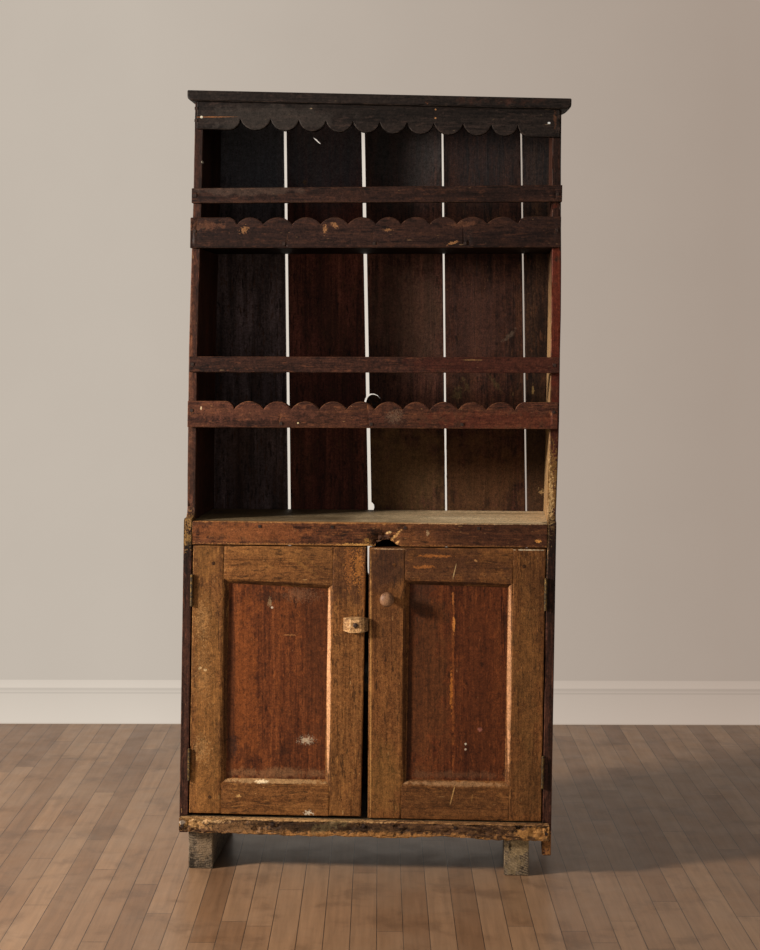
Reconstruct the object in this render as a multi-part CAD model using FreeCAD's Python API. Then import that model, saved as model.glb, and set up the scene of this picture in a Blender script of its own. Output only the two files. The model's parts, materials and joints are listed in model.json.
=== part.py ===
"""Step back cupboard in old pine, built as its separate boards, joints and ironwork.

Frame: millimetres, +Z up, the front of the case faces -Y, and the origin is the centre of the
bounding box at floor level. The old case leans: every board of it follows a centre line that
moves sideways with height, so places across the case are given from that line.
"""
import FreeCAD
import Part
import math
import os

# ---------------------------------------------------------------- driving dimensions (mm)
# Case
CASE_WIDTH = 895.0            # outside of one side board to the outside of the other
CASE_DEPTH = 320.0            # depth of the side boards below the waist
STEP_BACK = 48.0              # how far the shelves stand behind the cupboard front
LEAN = 0.0143                 # sideways lean of the case, per unit of height
SIDE_THICKNESS = 21.0
FOOT_HEIGHT = 50.0            # floor to what is left of the right side board's foot
SIDE_BOTTOM = 87.0            # floor to the worn lower edge of the side boards
FOOT_LENGTH = 74.0            # front to back, of each remaining foot of the right side board
FOOT_ROUND = 16.0
WAIST_HEIGHT = 846.0          # floor to the ledge where the side boards step back
WAIST_COVE = 26.0             # radius of the cove above the ledge
WAIST_NOSE = 9.0              # radius of the worn corner below the ledge

# Top board and frieze
TOP_HEIGHT = 1842.0           # floor to the underside of the top board, on the centre line
TOP_FALL = 26.5               # the top is this much lower at the right side than at the left
TOP_THICKNESS = 25.0
TOP_OVERHANG_LEFT = 9.4
TOP_OVERHANG_RIGHT = 19.2
TOP_OVERHANG_FRONT = 16.0     # beyond the frieze
TOP_CUT_START = 20.0          # front edge of the top board to where its right end is cut back
TOP_CUT_END = 140.0           # front edge of the top board to where its right end is flush with the case
TOP_NOSE_CUTS = 5
TOP_NOSE = 11.0               # radius of the worn lower corners at both ends
FRIEZE_HEIGHT = 66.0          # top edge to the tips of the scallops
FRIEZE_INSET_LEFT = 11.7      # frieze end to the outside of the case
FRIEZE_INSET_RIGHT = 7.6
FRIEZE_SHOULDER_LEFT = 106.3  # plain end of the frieze
FRIEZE_SHOULDER_RIGHT = 98.4
FRIEZE_SCALLOP_DEPTH = 27.0

# Rails and scalloped boards nailed across the front
FACING_THICKNESS = 19.0       # frieze, plate rails and scalloped boards
PLATE_RAIL_SHORT_LEFT = 2.0   # rail end to the outside of the case
PLATE_RAIL_OVERHANG_RIGHT = 1.5
UPPER_RAIL_DROP = 233.0       # underside of the top board to the rail's lower edge
UPPER_RAIL_WIDTH_LEFT = 36.0
UPPER_RAIL_WIDTH_RIGHT = 40.0
LOWER_RAIL_RISE = 134.0       # underside of the lower shelf to the rail's lower edge
LOWER_RAIL_WIDTH = 38.0
SHOULDER_LEFT = 114.0         # plain end of a scalloped board
SHOULDER_RIGHT = 102.0
SHOULDER_ROUND = 26.0         # length of the quarter round at the end of a shoulder
SCALLOP_COUNT = 10
SCALLOP_CUTS = 8              # straight saw cuts along one scallop
UPPER_SCALLOP_WIDTH = 74.0    # whole height of the upper scalloped board
UPPER_SCALLOP_DEPTH = 17.0
LOWER_SCALLOP_WIDTH = 64.0
LOWER_SCALLOP_DEPTH = 19.0
# The scallops were sawn by eye: how far each cusp stands off even spacing.
FRIEZE_UNEVEN = (0.0, 7.3, 8.5, 7.3, 5.8, 3.1, 1.9, -0.7, 2.7, 3.1, 0.0)
UPPER_UNEVEN = (0.0, -3.6, -1.2, 0.2, -1.7, -1.9, -9.0, -7.5, -10.9, -6.3, 0.0)
LOWER_UNEVEN = (0.0, 3.9, 3.6, 4.1, 2.2, 1.5, 2.4, -1.0, -0.5, -1.5, 0.0)

# Shelves, counter and bottom
SHELF_THICKNESS = 20.0
HOUSING_DEPTH = 7.0           # how far the shelves run into the side boards
UPPER_SHELF_DROP = 342.0      # underside of the top board to the underside of the shelf
LOWER_SHELF_RISE = 226.0      # counter's surface to the underside of the shelf
COUNTER_THICKNESS = 20.0
COUNTER_DROP = 7.0            # ledge of the waist down to the counter's surface
COUNTER_RAIL_WIDTH = 56.0
COUNTER_RAIL_THICKNESS = 20.0
COUNTER_LIP_HEIGHT = 1.0      # rail above the counter's surface
# The piece broken out of the counter rail: each (distance from the centre line, height broken away).
COUNTER_RAIL_BREAK = ((17.0, 0.0), (20.5, 8.5), (31.5, 13.5), (40.0, 16.5), (49.0, 17.0), (63.5, 7.5),
                      (75.0, 0.0))
BOTTOM_THICKNESS = 20.0
BOTTOM_HEIGHT = 128.0         # floor to the upper face of the bottom board and of the base rail
INNER_SHELF_RISE = 322.0      # bottom board to the upper face of the inner shelf
CLEAT_WIDTH = 32.0
CLEAT_THICKNESS = 18.0
BASE_RAIL_WIDTH = 41.0
BASE_RAIL_THICKNESS = 20.0
BASE_RAIL_SHORT_LEFT = 2.8    # left end of the base rail to the outside of the case
BASE_RAIL_SHORT_RIGHT = 5.0   # right end of the base rail to the outside of the case
# Rotted lower edge of the base rail: each (distance from its left end, height rotted away).
BASE_RAIL_ROT = ((0.0, 6.5), (52.0, 3.4), (107.0, 2.0), (268.0, 0.0), (550.0, 0.0), (596.0, 4.8),
                 (640.0, 6.5), (684.0, 4.8), (730.0, 0.0))
RUNNER_WIDTH = 59.0
RUNNER_INSET_RIGHT = 32.0     # right runner to the inner face of the side board
RUNNER_CLEARANCE = 1.5        # left runner to the inner face of the side board
RUNNER_SETBACK = 1.0          # runner end behind the front edge of the sides

# Back boards
BACK_THICKNESS = 19.0
BACK_BOTTOM = 92.0
BACK_TOP_CLEARANCE = 1.0
# Each gap between back boards: share of the case's width from its left side to the gap, both measured at
# floor level; width of the gap; and how it leans per unit of height, measured from the case centre line.
BACK_GAPS = ((0.2675, 8.5, -0.0269), (0.5084, 9.5, -0.0341), (0.7216, 5.0, -0.0262), (0.9560, 4.0, -0.0304))

# Doors
DOOR_THICKNESS = 22.0
DOOR_TOP_CLEARANCE = 3.0      # door to counter rail
LEFT_DOOR_CLEARANCE = 6.0     # base rail to the door
RIGHT_DOOR_CLEARANCE = 3.0
DOOR_STOP_CLEARANCE = 1.0     # back of a closed door to the inner shelf, its stop
HINGE_GAP = 3.0               # door edge to side board
LEFT_EDGE_TOP = -5.0          # meeting edge of the left door, from the centre line
LEFT_EDGE_BOTTOM = -8.0
RIGHT_EDGE_TOP = 2.0
RIGHT_EDGE_BOTTOM = 9.0
LEFT_HINGE_STILE = 75.5
LEFT_LOCK_STILE = 80.0
LEFT_TOP_RAIL_HINGE_END = 79.0
LEFT_TOP_RAIL_LOCK_END = 91.0
LEFT_BOTTOM_RAIL = 74.0
RIGHT_HINGE_STILE = 77.0
RIGHT_LOCK_STILE = 79.5
RIGHT_TOP_RAIL_HINGE_END = 83.0
RIGHT_TOP_RAIL_LOCK_END = 77.0
RIGHT_BOTTOM_RAIL = 81.0
BEVEL_WIDTH = 12.0            # worked bevel round the panel
BEVEL_DEPTH = 10.0            # door face down to the face of the panel
GROOVE_THICKNESS = 6.5
GROOVE_DEPTH = 8.0
PANEL_CLEARANCE = 0.3         # panel tongue in its groove, each side
PANEL_PLAY = 1.5              # panel edge to the bottom of the groove
PANEL_FIELD_INSET = 38.0      # clear opening to the flat field on the back
PANEL_BACK_SETBACK = 1.0      # back of the panel to the back of the frame
TENON_LENGTH = 52.0
TENON_THICKNESS = 7.0
TENON_FACE = 8.0              # door face to the tenon
TENON_SHOULDER = 12.0         # outer edge of a rail to its tenon
TENON_INNER_SHOULDER = 6.0    # bevelled edge of a rail to its tenon
TENON_ROOT = 24.0             # part of the tenon's length inside the rail
TENON_END_PLAY = 1.0
PEG_RADIUS = 4.0
PEG_FIT = 0.05
PEG_PROUD = 0.6
OVERCUT = 1.0                 # how far the bevel's waste stands outside the wood

# Butt hinges
HINGE_HEIGHT = 76.0
HINGE_LEAF_THICKNESS = 2.0
HINGE_LEAF_GAP = 0.4          # between the two leaves of a closed hinge
HINGE_EDGE_MARGIN = 2.0       # leaf to the back face of the door
HINGE_KNUCKLES = 3
BARREL_SIDES = 12
BARREL_RADIUS = 3.5
BARREL_CLEARANCE = 0.3        # barrel to the woodwork and to the other leaf
KNUCKLE_GAP = 0.3
PIN_RADIUS = 1.7
PIN_CLEARANCE = 0.05
PIN_HEAD_RADIUS = 2.9
PIN_HEAD_HEIGHT = 1.6
HINGE_FROM_TOP = 108.0        # door top to hinge centre
HINGE_FROM_BOTTOM = 118.0     # door bottom to hinge centre
SCREW_SIDES = 6
SCREW_RADIUS = 1.8
SCREW_HEAD_RADIUS = 3.4
SCREW_POINT = 0.7
SCREW_LENGTH = 15.0
SCREW_SPACING = 26.0
SCREW_STAGGER = 3.0
SCREW_SUNK = 0.1

# Turn button and knob
BUTTON_LENGTH = 60.0
BUTTON_WIDTH = 37.0
BUTTON_TAPER = 3.0            # narrower at the ends
BUTTON_THICKNESS = 17.0
BUTTON_END_THICKNESS = 6.0
BUTTON_FLAT = 26.0            # length of the flat on its face
BUTTON_DROP = 185.0           # door top to its pivot
BUTTON_NOSE_CLEARANCE = 0.6   # nose to the edge of the right door
BUTTON_FACE_CLEARANCE = 0.4   # button to the door face
PIVOT_SIDES = 12
PIVOT_RADIUS = 3.0
PIVOT_CLEARANCE = 0.08
PIVOT_LENGTH = 32.0
PIVOT_HEAD_RADIUS = 5.5
PIVOT_CROWN_RADIUS = 3.3
PIVOT_HEAD_HEIGHT = 2.5
KNOB_RADIUS = 17.5
KNOB_LENGTH = 38.0            # door face to the crown of the knob
KNOB_SIDES = 20
KNOB_BANDS = 7                # bands of the round crown
KNOB_NECK_RADIUS = 8.0
KNOB_NECK_START = 6.0         # door face to the straight neck
KNOB_NECK_END = 11.4          # door face to where the crown begins
KNOB_FLANGE_RADIUS = 10.0
KNOB_FLANGE_THICKNESS = 3.0
KNOB_SHANK_RADIUS = 6.0
KNOB_DROP = 124.0             # door top to the knob
KNOB_FROM_EDGE = 43.0         # meeting edge of the right door to the knob

# Cut nails
NAIL_SHANK = 3.2
NAIL_POINT = 1.6
NAIL_LENGTH = 50.0
NAIL_HEAD = 7.0
NAIL_HEAD_HEIGHT = 1.4
NAIL_MARGIN = 10.0            # nail to the outside of the case
NAIL_INSET_TOP = 50.0         # nail in the top board to the front and rear edges of the sides
BACK_NAIL_MARGIN = 22.0       # nail to the edge of a back board
BACK_NAIL_LEAST_SPACING = 42.0
FRIEZE_NAIL_DROPS = (16.5, 46.0)
SCALLOP_NAIL_RISE = 41.0      # lower edge of a scalloped board to the nails at its ends
TOP_NAILS = 3                 # in each side board
SHELF_NAILS = 3               # across the front of a shelf
COUNTER_NAILS = 4

PEG_SIDES = 8

# ---------------------------------------------------------------- places worked out from them
HALF_WIDTH = CASE_WIDTH / 2
INNER_HALF = HALF_WIDTH - SIDE_THICKNESS
TOP_SLOPE = TOP_FALL / CASE_WIDTH
TOTAL_DEPTH = KNOB_LENGTH + CASE_DEPTH + BACK_THICKNESS + NAIL_HEAD_HEIGHT
FRONT_Y = KNOB_LENGTH - TOTAL_DEPTH / 2
UPPER_FRONT_Y = FRONT_Y + STEP_BACK
FACING_Y = UPPER_FRONT_Y - FACING_THICKNESS
REAR_Y = FRONT_Y + CASE_DEPTH
BACK_FACE_Y = REAR_Y + BACK_THICKNESS
UPPER_RAIL_HEIGHT = TOP_HEIGHT - UPPER_RAIL_DROP
UPPER_SHELF_HEIGHT = TOP_HEIGHT - UPPER_SHELF_DROP
COUNTER_HEIGHT = WAIST_HEIGHT - COUNTER_DROP
LOWER_SHELF_HEIGHT = COUNTER_HEIGHT + LOWER_SHELF_RISE
LOWER_RAIL_HEIGHT = LOWER_SHELF_HEIGHT + LOWER_RAIL_RISE
COUNTER_RAIL_TOP = COUNTER_HEIGHT + COUNTER_LIP_HEIGHT
COUNTER_RAIL_BOTTOM = COUNTER_RAIL_TOP - COUNTER_RAIL_WIDTH
BASE_RAIL_BOTTOM = BOTTOM_HEIGHT - BASE_RAIL_WIDTH
INNER_SHELF_HEIGHT = BOTTOM_HEIGHT + INNER_SHELF_RISE
DOOR_TOP = COUNTER_RAIL_BOTTOM - DOOR_TOP_CLEARANCE
LEFT_DOOR_BOTTOM = BOTTOM_HEIGHT + LEFT_DOOR_CLEARANCE
RIGHT_DOOR_BOTTOM = BOTTOM_HEIGHT + RIGHT_DOOR_CLEARANCE
BUTTON_HEIGHT = DOOR_TOP - BUTTON_DROP
KNOB_HEIGHT = DOOR_TOP - KNOB_DROP
TOP_RIGHT_Z = TOP_HEIGHT - TOP_SLOPE * (HALF_WIDTH + TOP_OVERHANG_RIGHT) + TOP_THICKNESS
LEFTMOST = -HALF_WIDTH + LEAN * SIDE_BOTTOM
RIGHTMOST = HALF_WIDTH + TOP_OVERHANG_RIGHT + LEAN * TOP_RIGHT_Z
CENTRE_X = -(LEFTMOST + RIGHTMOST) / 2
LEAN_DEGREES = math.degrees(math.atan(LEAN))
HINGE_AXIS_Y = FRONT_Y - BARREL_RADIUS - BARREL_CLEARANCE
HINGE_AXIS_U = INNER_HALF - HINGE_GAP / 2
LEAF_REACH = BARREL_RADIUS + BARREL_CLEARANCE * 2
LEAF_REAR = FRONT_Y - HINGE_AXIS_Y + DOOR_THICKNESS - HINGE_EDGE_MARGIN
BEND = math.sqrt(0.5)         # share of a radius to the middle of a quarter round

BACKWARDS = FreeCAD.Vector(0, 1, 0)
FORWARDS = FreeCAD.Vector(0, -1, 0)
UPWARDS = FreeCAD.Vector(0, 0, 1)
DOWNWARDS = FreeCAD.Vector(0, 0, -1)


# ---------------------------------------------------------------- helpers
def at(u, y, z):
    """Point u across from the leaning centre line, at depth y and height z."""
    return FreeCAD.Vector(CENTRE_X + LEAN * z + u, y, z)


def wire_through(path, to_point):
    """Closed wire through a path: (a, b) ends a straight line, (a, b, via_a, via_b) an arc."""
    edges = []
    here = to_point(*path[0][:2])
    for step in path[1:] + path[:1]:
        there = to_point(*step[:2])
        if len(step) == 4:
            edges.append(Part.Arc(here, to_point(*step[2:]), there).toShape())
        elif here.distanceToPoint(there) > 1e-6:
            edges.append(Part.LineSegment(here, there).toShape())
        here = there
    return Part.Wire(edges)


def front_board(path, front_y, thickness):
    """Board drawn from the front as (u, z) and given its thickness backwards."""
    face = Part.Face(wire_through(path, lambda u, z: at(u, front_y, z)))
    return face.extrude(FreeCAD.Vector(0, thickness, 0))


def upright_board(path, u, thickness):
    """Board drawn from the side as (y, z), with its left face at u."""
    face = Part.Face(wire_through(path, lambda y, z: at(u, y, z)))
    return face.extrude(FreeCAD.Vector(thickness, 0, 0))


def level_board(left, right, front_y, rear_y, bottom, thickness):
    """Shelf between two places across the case, its ends cut to the lean."""
    path = [(left, bottom), (right, bottom), (right, bottom + thickness), (left, bottom + thickness)]
    return front_board(path, front_y, rear_y - front_y)


def quad(left_bottom, right_bottom, right_top, left_top):
    """Four-cornered outline, each corner (u, z)."""
    return [left_bottom, right_bottom, right_top, left_top]


def inset(corners, margin):
    """Outline from quad() with all four sides moved in, parallel to themselves, by a margin."""
    moved = []
    for here, there in zip(corners, corners[1:] + corners[:1]):
        run, rise = there[0] - here[0], there[1] - here[1]
        length = math.hypot(run, rise)
        moved.append((here[0] - rise / length * margin, here[1] + run / length * margin, run, rise))
    result = []
    for (au, az, ar, ai), (bu, bz, br, bi) in zip(moved[-1:] + moved[:-1], moved):
        share = ((bu - au) * bi - (bz - az) * br) / (ar * bi - ai * br)
        result.append((au + ar * share, az + ai * share))
    return result


def stacked(loops):
    """Solid with flat faces between loops of points that follow one another."""
    faces = [Part.Face(Part.makePolygon(loop + loop[:1])) for loop in (loops[0], loops[-1])]
    for lower, upper in zip(loops, loops[1:]):
        for i in range(len(lower)):
            j = (i + 1) % len(lower)
            faces.append(Part.Face(Part.makePolygon([lower[i], lower[j], upper[j], upper[i], lower[i]])))
    shell = Part.makeShell(faces)
    shell.sewShape()
    solid = Part.Solid(shell)
    if solid.Volume < 0:
        solid.reverse()
    return solid


def frustum(front_corners, front_y, rear_corners, rear_y):
    """Solid whose outline changes from one quad at front_y to another at rear_y."""
    front = [at(u, front_y, z) for u, z in front_corners]
    rear = [at(u, rear_y, z) for u, z in rear_corners]
    return stacked([front, rear])


def grouped(shapes):
    """Separate solids that share one node."""
    return Part.makeCompound(shapes)


def cut_all(board, tools):
    """Board with each of the tools cut out of it."""
    return board.cut(grouped(tools)) if tools else board


def top_line(u):
    """Height of the top board's underside at u."""
    return TOP_HEIGHT - TOP_SLOPE * u


def faceted(profile, sides, base, axis):
    """Round piece with flat sides: profile is (distance along the axis, half width across the flats)."""
    loops = []
    for distance, half_width in profile:
        corner = half_width / math.cos(math.pi / sides)
        angles = [math.pi * (2 * i + 1) / sides for i in range(sides)]
        loops.append([FreeCAD.Vector(corner * math.cos(a), corner * math.sin(a), distance) for a in angles])
    solid = stacked(loops)
    solid.Placement = FreeCAD.Placement(base, FreeCAD.Rotation(UPWARDS, axis))
    return solid


# ---------------------------------------------------------------- nails
def nail(base, axis):
    """Cut nail driven along axis, with its head on the surface at base."""
    head = stacked([square(NAIL_HEAD, -NAIL_HEAD_HEIGHT), square(NAIL_HEAD, 0)])
    shank = stacked([square(NAIL_SHANK, 0), square(NAIL_POINT, NAIL_LENGTH)])
    whole = head.fuse(shank)
    whole.Placement = FreeCAD.Placement(base, FreeCAD.Rotation(UPWARDS, axis))
    return whole


def square(width, z):
    """Corners of a square of the given width around the Z axis."""
    h = width / 2
    return [FreeCAD.Vector(x, y, z) for x, y in ((-h, -h), (h, -h), (h, h), (-h, h))]


def front_nails(places, surface_y):
    """Nails driven backwards at (u, z) places into a surface."""
    return [nail(at(u, surface_y, z), BACKWARDS) for u, z in places]


def nail_groups():
    """Every group of nails, by node name."""
    end = HALF_WIDTH - NAIL_MARGIN
    rail_ends = []
    for side in (-1, 1):
        rail_ends.append((side * end, UPPER_RAIL_HEIGHT + UPPER_RAIL_WIDTH_LEFT / 2))
        rail_ends.append((side * end, LOWER_RAIL_HEIGHT + LOWER_RAIL_WIDTH / 2))
    fronts = []
    for height in (UPPER_SHELF_HEIGHT, LOWER_SHELF_HEIGHT):
        fronts += [(side * end, height + SCALLOP_NAIL_RISE) for side in (-1, 1)]
        fronts += [(u, height + SHELF_THICKNESS / 2) for u in between(-end, end, SHELF_NAILS)]
    frieze_ends = [(side * end, top_line(side * end) - drop)
                   for side in (-1, 1) for drop in FRIEZE_NAIL_DROPS]
    counter = [(u, COUNTER_HEIGHT - COUNTER_THICKNESS / 2) for u in between(-end, end, COUNTER_NAILS)]
    base_z = BOTTOM_HEIGHT - BASE_RAIL_WIDTH / 2
    base = [(-end, base_z), (end - BASE_RAIL_SHORT_RIGHT / 2, base_z)]
    base += [(u, BOTTOM_HEIGHT - BOTTOM_THICKNESS / 2) for u in between(-end, end, SHELF_NAILS)]
    top = []
    for u in (-end, end):
        for y in spread(UPPER_FRONT_Y + NAIL_INSET_TOP, REAR_Y - NAIL_INSET_TOP, TOP_NAILS):
            top.append(nail(at(u, y, top_line(u) + TOP_THICKNESS), DOWNWARDS))
    back = []
    for left, right in back_spans():
        for z in (BOTTOM_HEIGHT - BOTTOM_THICKNESS / 2, COUNTER_HEIGHT - COUNTER_THICKNESS / 2,
                  UPPER_SHELF_HEIGHT + SHELF_THICKNESS / 2):
            first = max(left[0] + left[1] * z, -INNER_HALF) + BACK_NAIL_MARGIN
            last = min(right[0] + right[1] * z, INNER_HALF) - BACK_NAIL_MARGIN
            wide = last - first > BACK_NAIL_LEAST_SPACING
            places = (first, last) if wide else ((first + last) / 2,)
            back += [nail(at(u, BACK_FACE_Y, z), FORWARDS) for u in places]
    return {
        "top_nails": top,
        "frieze_nails": front_nails(frieze_ends, FACING_Y),
        "plate_rail_nails": front_nails(rail_ends, FACING_Y),
        "scalloped_front_nails": front_nails(fronts, FACING_Y),
        "counter_rail_nails": front_nails(counter, FRONT_Y),
        "base_rail_nails": front_nails(base, FRONT_Y - BASE_RAIL_THICKNESS),
        "back_nails": back,
    }


def spread(first, last, count):
    """Evenly spaced places from first to last."""
    return [first + (last - first) * i / (count - 1) for i in range(count)]


def between(first, last, count):
    """Evenly spaced places inside a span, none at its ends."""
    return spread(first, last, count + 2)[1:-1]


# ---------------------------------------------------------------- case
def housings():
    """The shelves that run into both side boards: height and thickness of each."""
    return (
        (UPPER_SHELF_HEIGHT, SHELF_THICKNESS, UPPER_FRONT_Y),
        (LOWER_SHELF_HEIGHT, SHELF_THICKNESS, UPPER_FRONT_Y),
        (COUNTER_HEIGHT - COUNTER_THICKNESS, COUNTER_THICKNESS, FRONT_Y + COUNTER_RAIL_THICKNESS),
        (BOTTOM_HEIGHT - BOTTOM_THICKNESS, BOTTOM_THICKNESS, FRONT_Y),
    )


def housed_board(bottom, thickness, front_y):
    """Shelf that is housed in both side boards."""
    reach = INNER_HALF + HOUSING_DEPTH
    return level_board(-reach, reach, front_y, REAR_Y, bottom, thickness)


def step_edge():
    """Front edge of a side board from the ledge of the waist up to the upper front."""
    nose_rise = WAIST_NOSE * (1 - BEND)
    ledge_end = UPPER_FRONT_Y - WAIST_COVE
    return [
        (FRONT_Y, WAIST_HEIGHT - WAIST_NOSE),
        (FRONT_Y + WAIST_NOSE, WAIST_HEIGHT, FRONT_Y + nose_rise, WAIST_HEIGHT - nose_rise),
        (ledge_end, WAIST_HEIGHT),
        (UPPER_FRONT_Y, WAIST_HEIGHT + WAIST_COVE,
         ledge_end + WAIST_COVE * BEND, WAIST_HEIGHT + WAIST_COVE * (1 - BEND)),
    ]


def worn_bottom():
    """Lower edge of the left side board, worn level."""
    return [(REAR_Y, SIDE_BOTTOM), (FRONT_Y, SIDE_BOTTOM)]


def footed_bottom():
    """Lower edge of the right side board, which keeps a foot at the front and one at the back."""
    r = FOOT_ROUND
    near = r * (1 - BEND)
    front_foot = FRONT_Y + FOOT_LENGTH
    rear_foot = REAR_Y - FOOT_LENGTH
    return [
        (REAR_Y, FOOT_HEIGHT),
        (rear_foot, FOOT_HEIGHT),
        (rear_foot, SIDE_BOTTOM - r),
        (rear_foot - r, SIDE_BOTTOM, rear_foot - near, SIDE_BOTTOM - near),
        (front_foot + r, SIDE_BOTTOM),
        (front_foot, SIDE_BOTTOM - r, front_foot + near, SIDE_BOTTOM - near),
        (front_foot, FOOT_HEIGHT + r),
        (front_foot - r, FOOT_HEIGHT, front_foot - near, FOOT_HEIGHT + near),
        (FRONT_Y, FOOT_HEIGHT),
    ]


def side_board(left_face, side, bottom, door_bottom):
    """Side board with its housings, cut to the slope of the top: side is 1 at the left, -1 at the right."""
    high = top_line(-HALF_WIDTH) + TOP_THICKNESS
    blank = upright_board(step_edge() + [(UPPER_FRONT_Y, high), (REAR_Y, high)] + bottom,
                          left_face, SIDE_THICKNESS)
    tools = [above_top()]
    tools += [housed_board(z, thickness, front) for z, thickness, front in housings()]
    for z in hinge_heights(door_bottom):
        tools += [hinge_shape(s, z, side) for s in [leaf_seat(-side)] + leaf_screws(-side)]
    return cut_all(blank, tools)


def above_top():
    """The space that the top board fills."""
    left, right = top_ends()
    path = [(left, top_line(left)), (right, top_line(right)),
            (right, top_line(left) + TOP_THICKNESS), (left, top_line(left) + TOP_THICKNESS)]
    return front_board(path, FRONT_Y, CASE_DEPTH)


def top_ends():
    """Left and right end of the top board."""
    return -HALF_WIDTH - TOP_OVERHANG_LEFT, HALF_WIDTH + TOP_OVERHANG_RIGHT


def top_board():
    """Sloping top with worn lower corners at both ends."""
    left, right = top_ends()
    turns = spread(0, math.pi / 2, TOP_NOSE_CUTS + 1)
    nose = [(TOP_NOSE * (1 - math.sin(turn)), TOP_NOSE * (1 - math.cos(turn))) for turn in turns]
    path = [(right - inwards, top_line(right - inwards) + rise) for inwards, rise in nose]
    path += [(right, top_line(right) + TOP_THICKNESS), (left, top_line(left) + TOP_THICKNESS)]
    path += [(left + inwards, top_line(left + inwards) + rise) for inwards, rise in reversed(nose)]
    front = FACING_Y - TOP_OVERHANG_FRONT
    return front_board(path, front, BACK_FACE_Y - front).cut(top_end_waste(right, front))


def top_end_waste(right, front):
    """What is sawn off the right end of the top board behind its front corner."""
    low = TOP_RIGHT_Z - TOP_THICKNESS * 2
    rise = TOP_THICKNESS * 4
    plan = ((right, front + TOP_CUT_START), (HALF_WIDTH, front + TOP_CUT_END), (HALF_WIDTH, BACK_FACE_Y),
            (right, BACK_FACE_Y))
    corners = [at(u, y, low) for u, y in plan]
    base = Part.Face(Part.makePolygon(corners + corners[:1]))
    return base.extrude(FreeCAD.Vector(LEAN * rise, 0, rise))


def scallop(here, there, tip_line, depth):
    """Points along one scallop after the cusp at here, up to the cusp at there."""
    half = (there - here) / 2
    radius = (half ** 2 + depth ** 2) / (2 * abs(depth))
    turn = math.asin(half / radius)
    points = []
    for angle in spread(-turn, turn, SCALLOP_CUTS + 1)[1:]:
        u = here + half + radius * math.sin(angle)
        share = (1 - math.cos(angle)) / (1 - math.cos(turn))
        points.append((u, tip_line(u) + depth * share))
    return points


def scallop_edge(left, right, shoulders, tip_line, depth, uneven):
    """Scalloped edge between plain shoulders. depth is signed: up from the tips to the cusps."""
    first = left + shoulders[0]
    last = right - shoulders[1]
    cusps = [u + off for u, off in zip(spread(first, last, SCALLOP_COUNT + 1), uneven)]
    round_start = first - SHOULDER_ROUND
    round_end = last + SHOULDER_ROUND
    path = [(left, tip_line(left)), (round_start, tip_line(round_start))]
    via = round_start + SHOULDER_ROUND * BEND
    path.append((first, tip_line(first) + depth, via, tip_line(via) + depth * (1 - BEND)))
    for here, there in zip(cusps, cusps[1:]):
        path += scallop(here, there, tip_line, depth)
    via = round_end - SHOULDER_ROUND * BEND
    path.append((round_end, tip_line(round_end), via, tip_line(via) + depth * (1 - BEND)))
    path.append((right, tip_line(right)))
    return path


def frieze():
    """Scalloped board under the top, its scallops pointing down."""
    left = -HALF_WIDTH + FRIEZE_INSET_LEFT
    right = HALF_WIDTH - FRIEZE_INSET_RIGHT
    edge = scallop_edge(left, right, (FRIEZE_SHOULDER_LEFT, FRIEZE_SHOULDER_RIGHT),
                        lambda u: top_line(u) - FRIEZE_HEIGHT, FRIEZE_SCALLOP_DEPTH, FRIEZE_UNEVEN)
    top = [(right, top_line(right)), (left, top_line(left))]
    return front_board(edge + top, FACING_Y, FACING_THICKNESS)


def scalloped_front(height, width, depth, uneven):
    """Scalloped board nailed to the front edge of a shelf, its scallops pointing up."""
    edge = scallop_edge(-HALF_WIDTH, HALF_WIDTH, (SHOULDER_LEFT, SHOULDER_RIGHT),
                        lambda u: height + width, -depth, uneven)
    return front_board(edge + [(HALF_WIDTH, height), (-HALF_WIDTH, height)], FACING_Y, FACING_THICKNESS)


def plate_rail(height, width_left, width_right):
    """Plain rail across the front of the open shelves."""
    left = -HALF_WIDTH + PLATE_RAIL_SHORT_LEFT
    right = HALF_WIDTH + PLATE_RAIL_OVERHANG_RIGHT
    path = quad((left, height), (right, height), (right, height + width_right), (left, height + width_left))
    return front_board(path, FACING_Y, FACING_THICKNESS)


def counter_front_rail():
    """Rail below the counter's front edge, with a piece broken out of its lower edge."""
    low = COUNTER_RAIL_BOTTOM
    path = [(-INNER_HALF, low)]
    path += [(u, low + rise) for u, rise in COUNTER_RAIL_BREAK]
    path += [(INNER_HALF, low), (INNER_HALF, COUNTER_RAIL_TOP), (-INNER_HALF, COUNTER_RAIL_TOP)]
    return front_board(path, FRONT_Y, COUNTER_RAIL_THICKNESS)


def base_rail():
    """Rail nailed across the front of the sides below the doors, its lower edge rotted."""
    left = -HALF_WIDTH + BASE_RAIL_SHORT_LEFT
    right = HALF_WIDTH - BASE_RAIL_SHORT_RIGHT
    path = [(left + distance, BASE_RAIL_BOTTOM + rise) for distance, rise in BASE_RAIL_ROT]
    path += [(right, BASE_RAIL_BOTTOM), (right, BOTTOM_HEIGHT), (left, BOTTOM_HEIGHT)]
    return front_board(path, FRONT_Y - BASE_RAIL_THICKNESS, BASE_RAIL_THICKNESS)


def back_spans():
    """Left and right edge of each back board: place at floor level from the centre line, and lean."""
    edges = [(-HALF_WIDTH, 0)]
    for share, width, lean in BACK_GAPS:
        middle = CASE_WIDTH * share - HALF_WIDTH
        edges += [(middle - width / 2, lean), (middle + width / 2, lean)]
    edges.append((HALF_WIDTH, 0))
    return list(zip(edges[::2], edges[1::2]))


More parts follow.
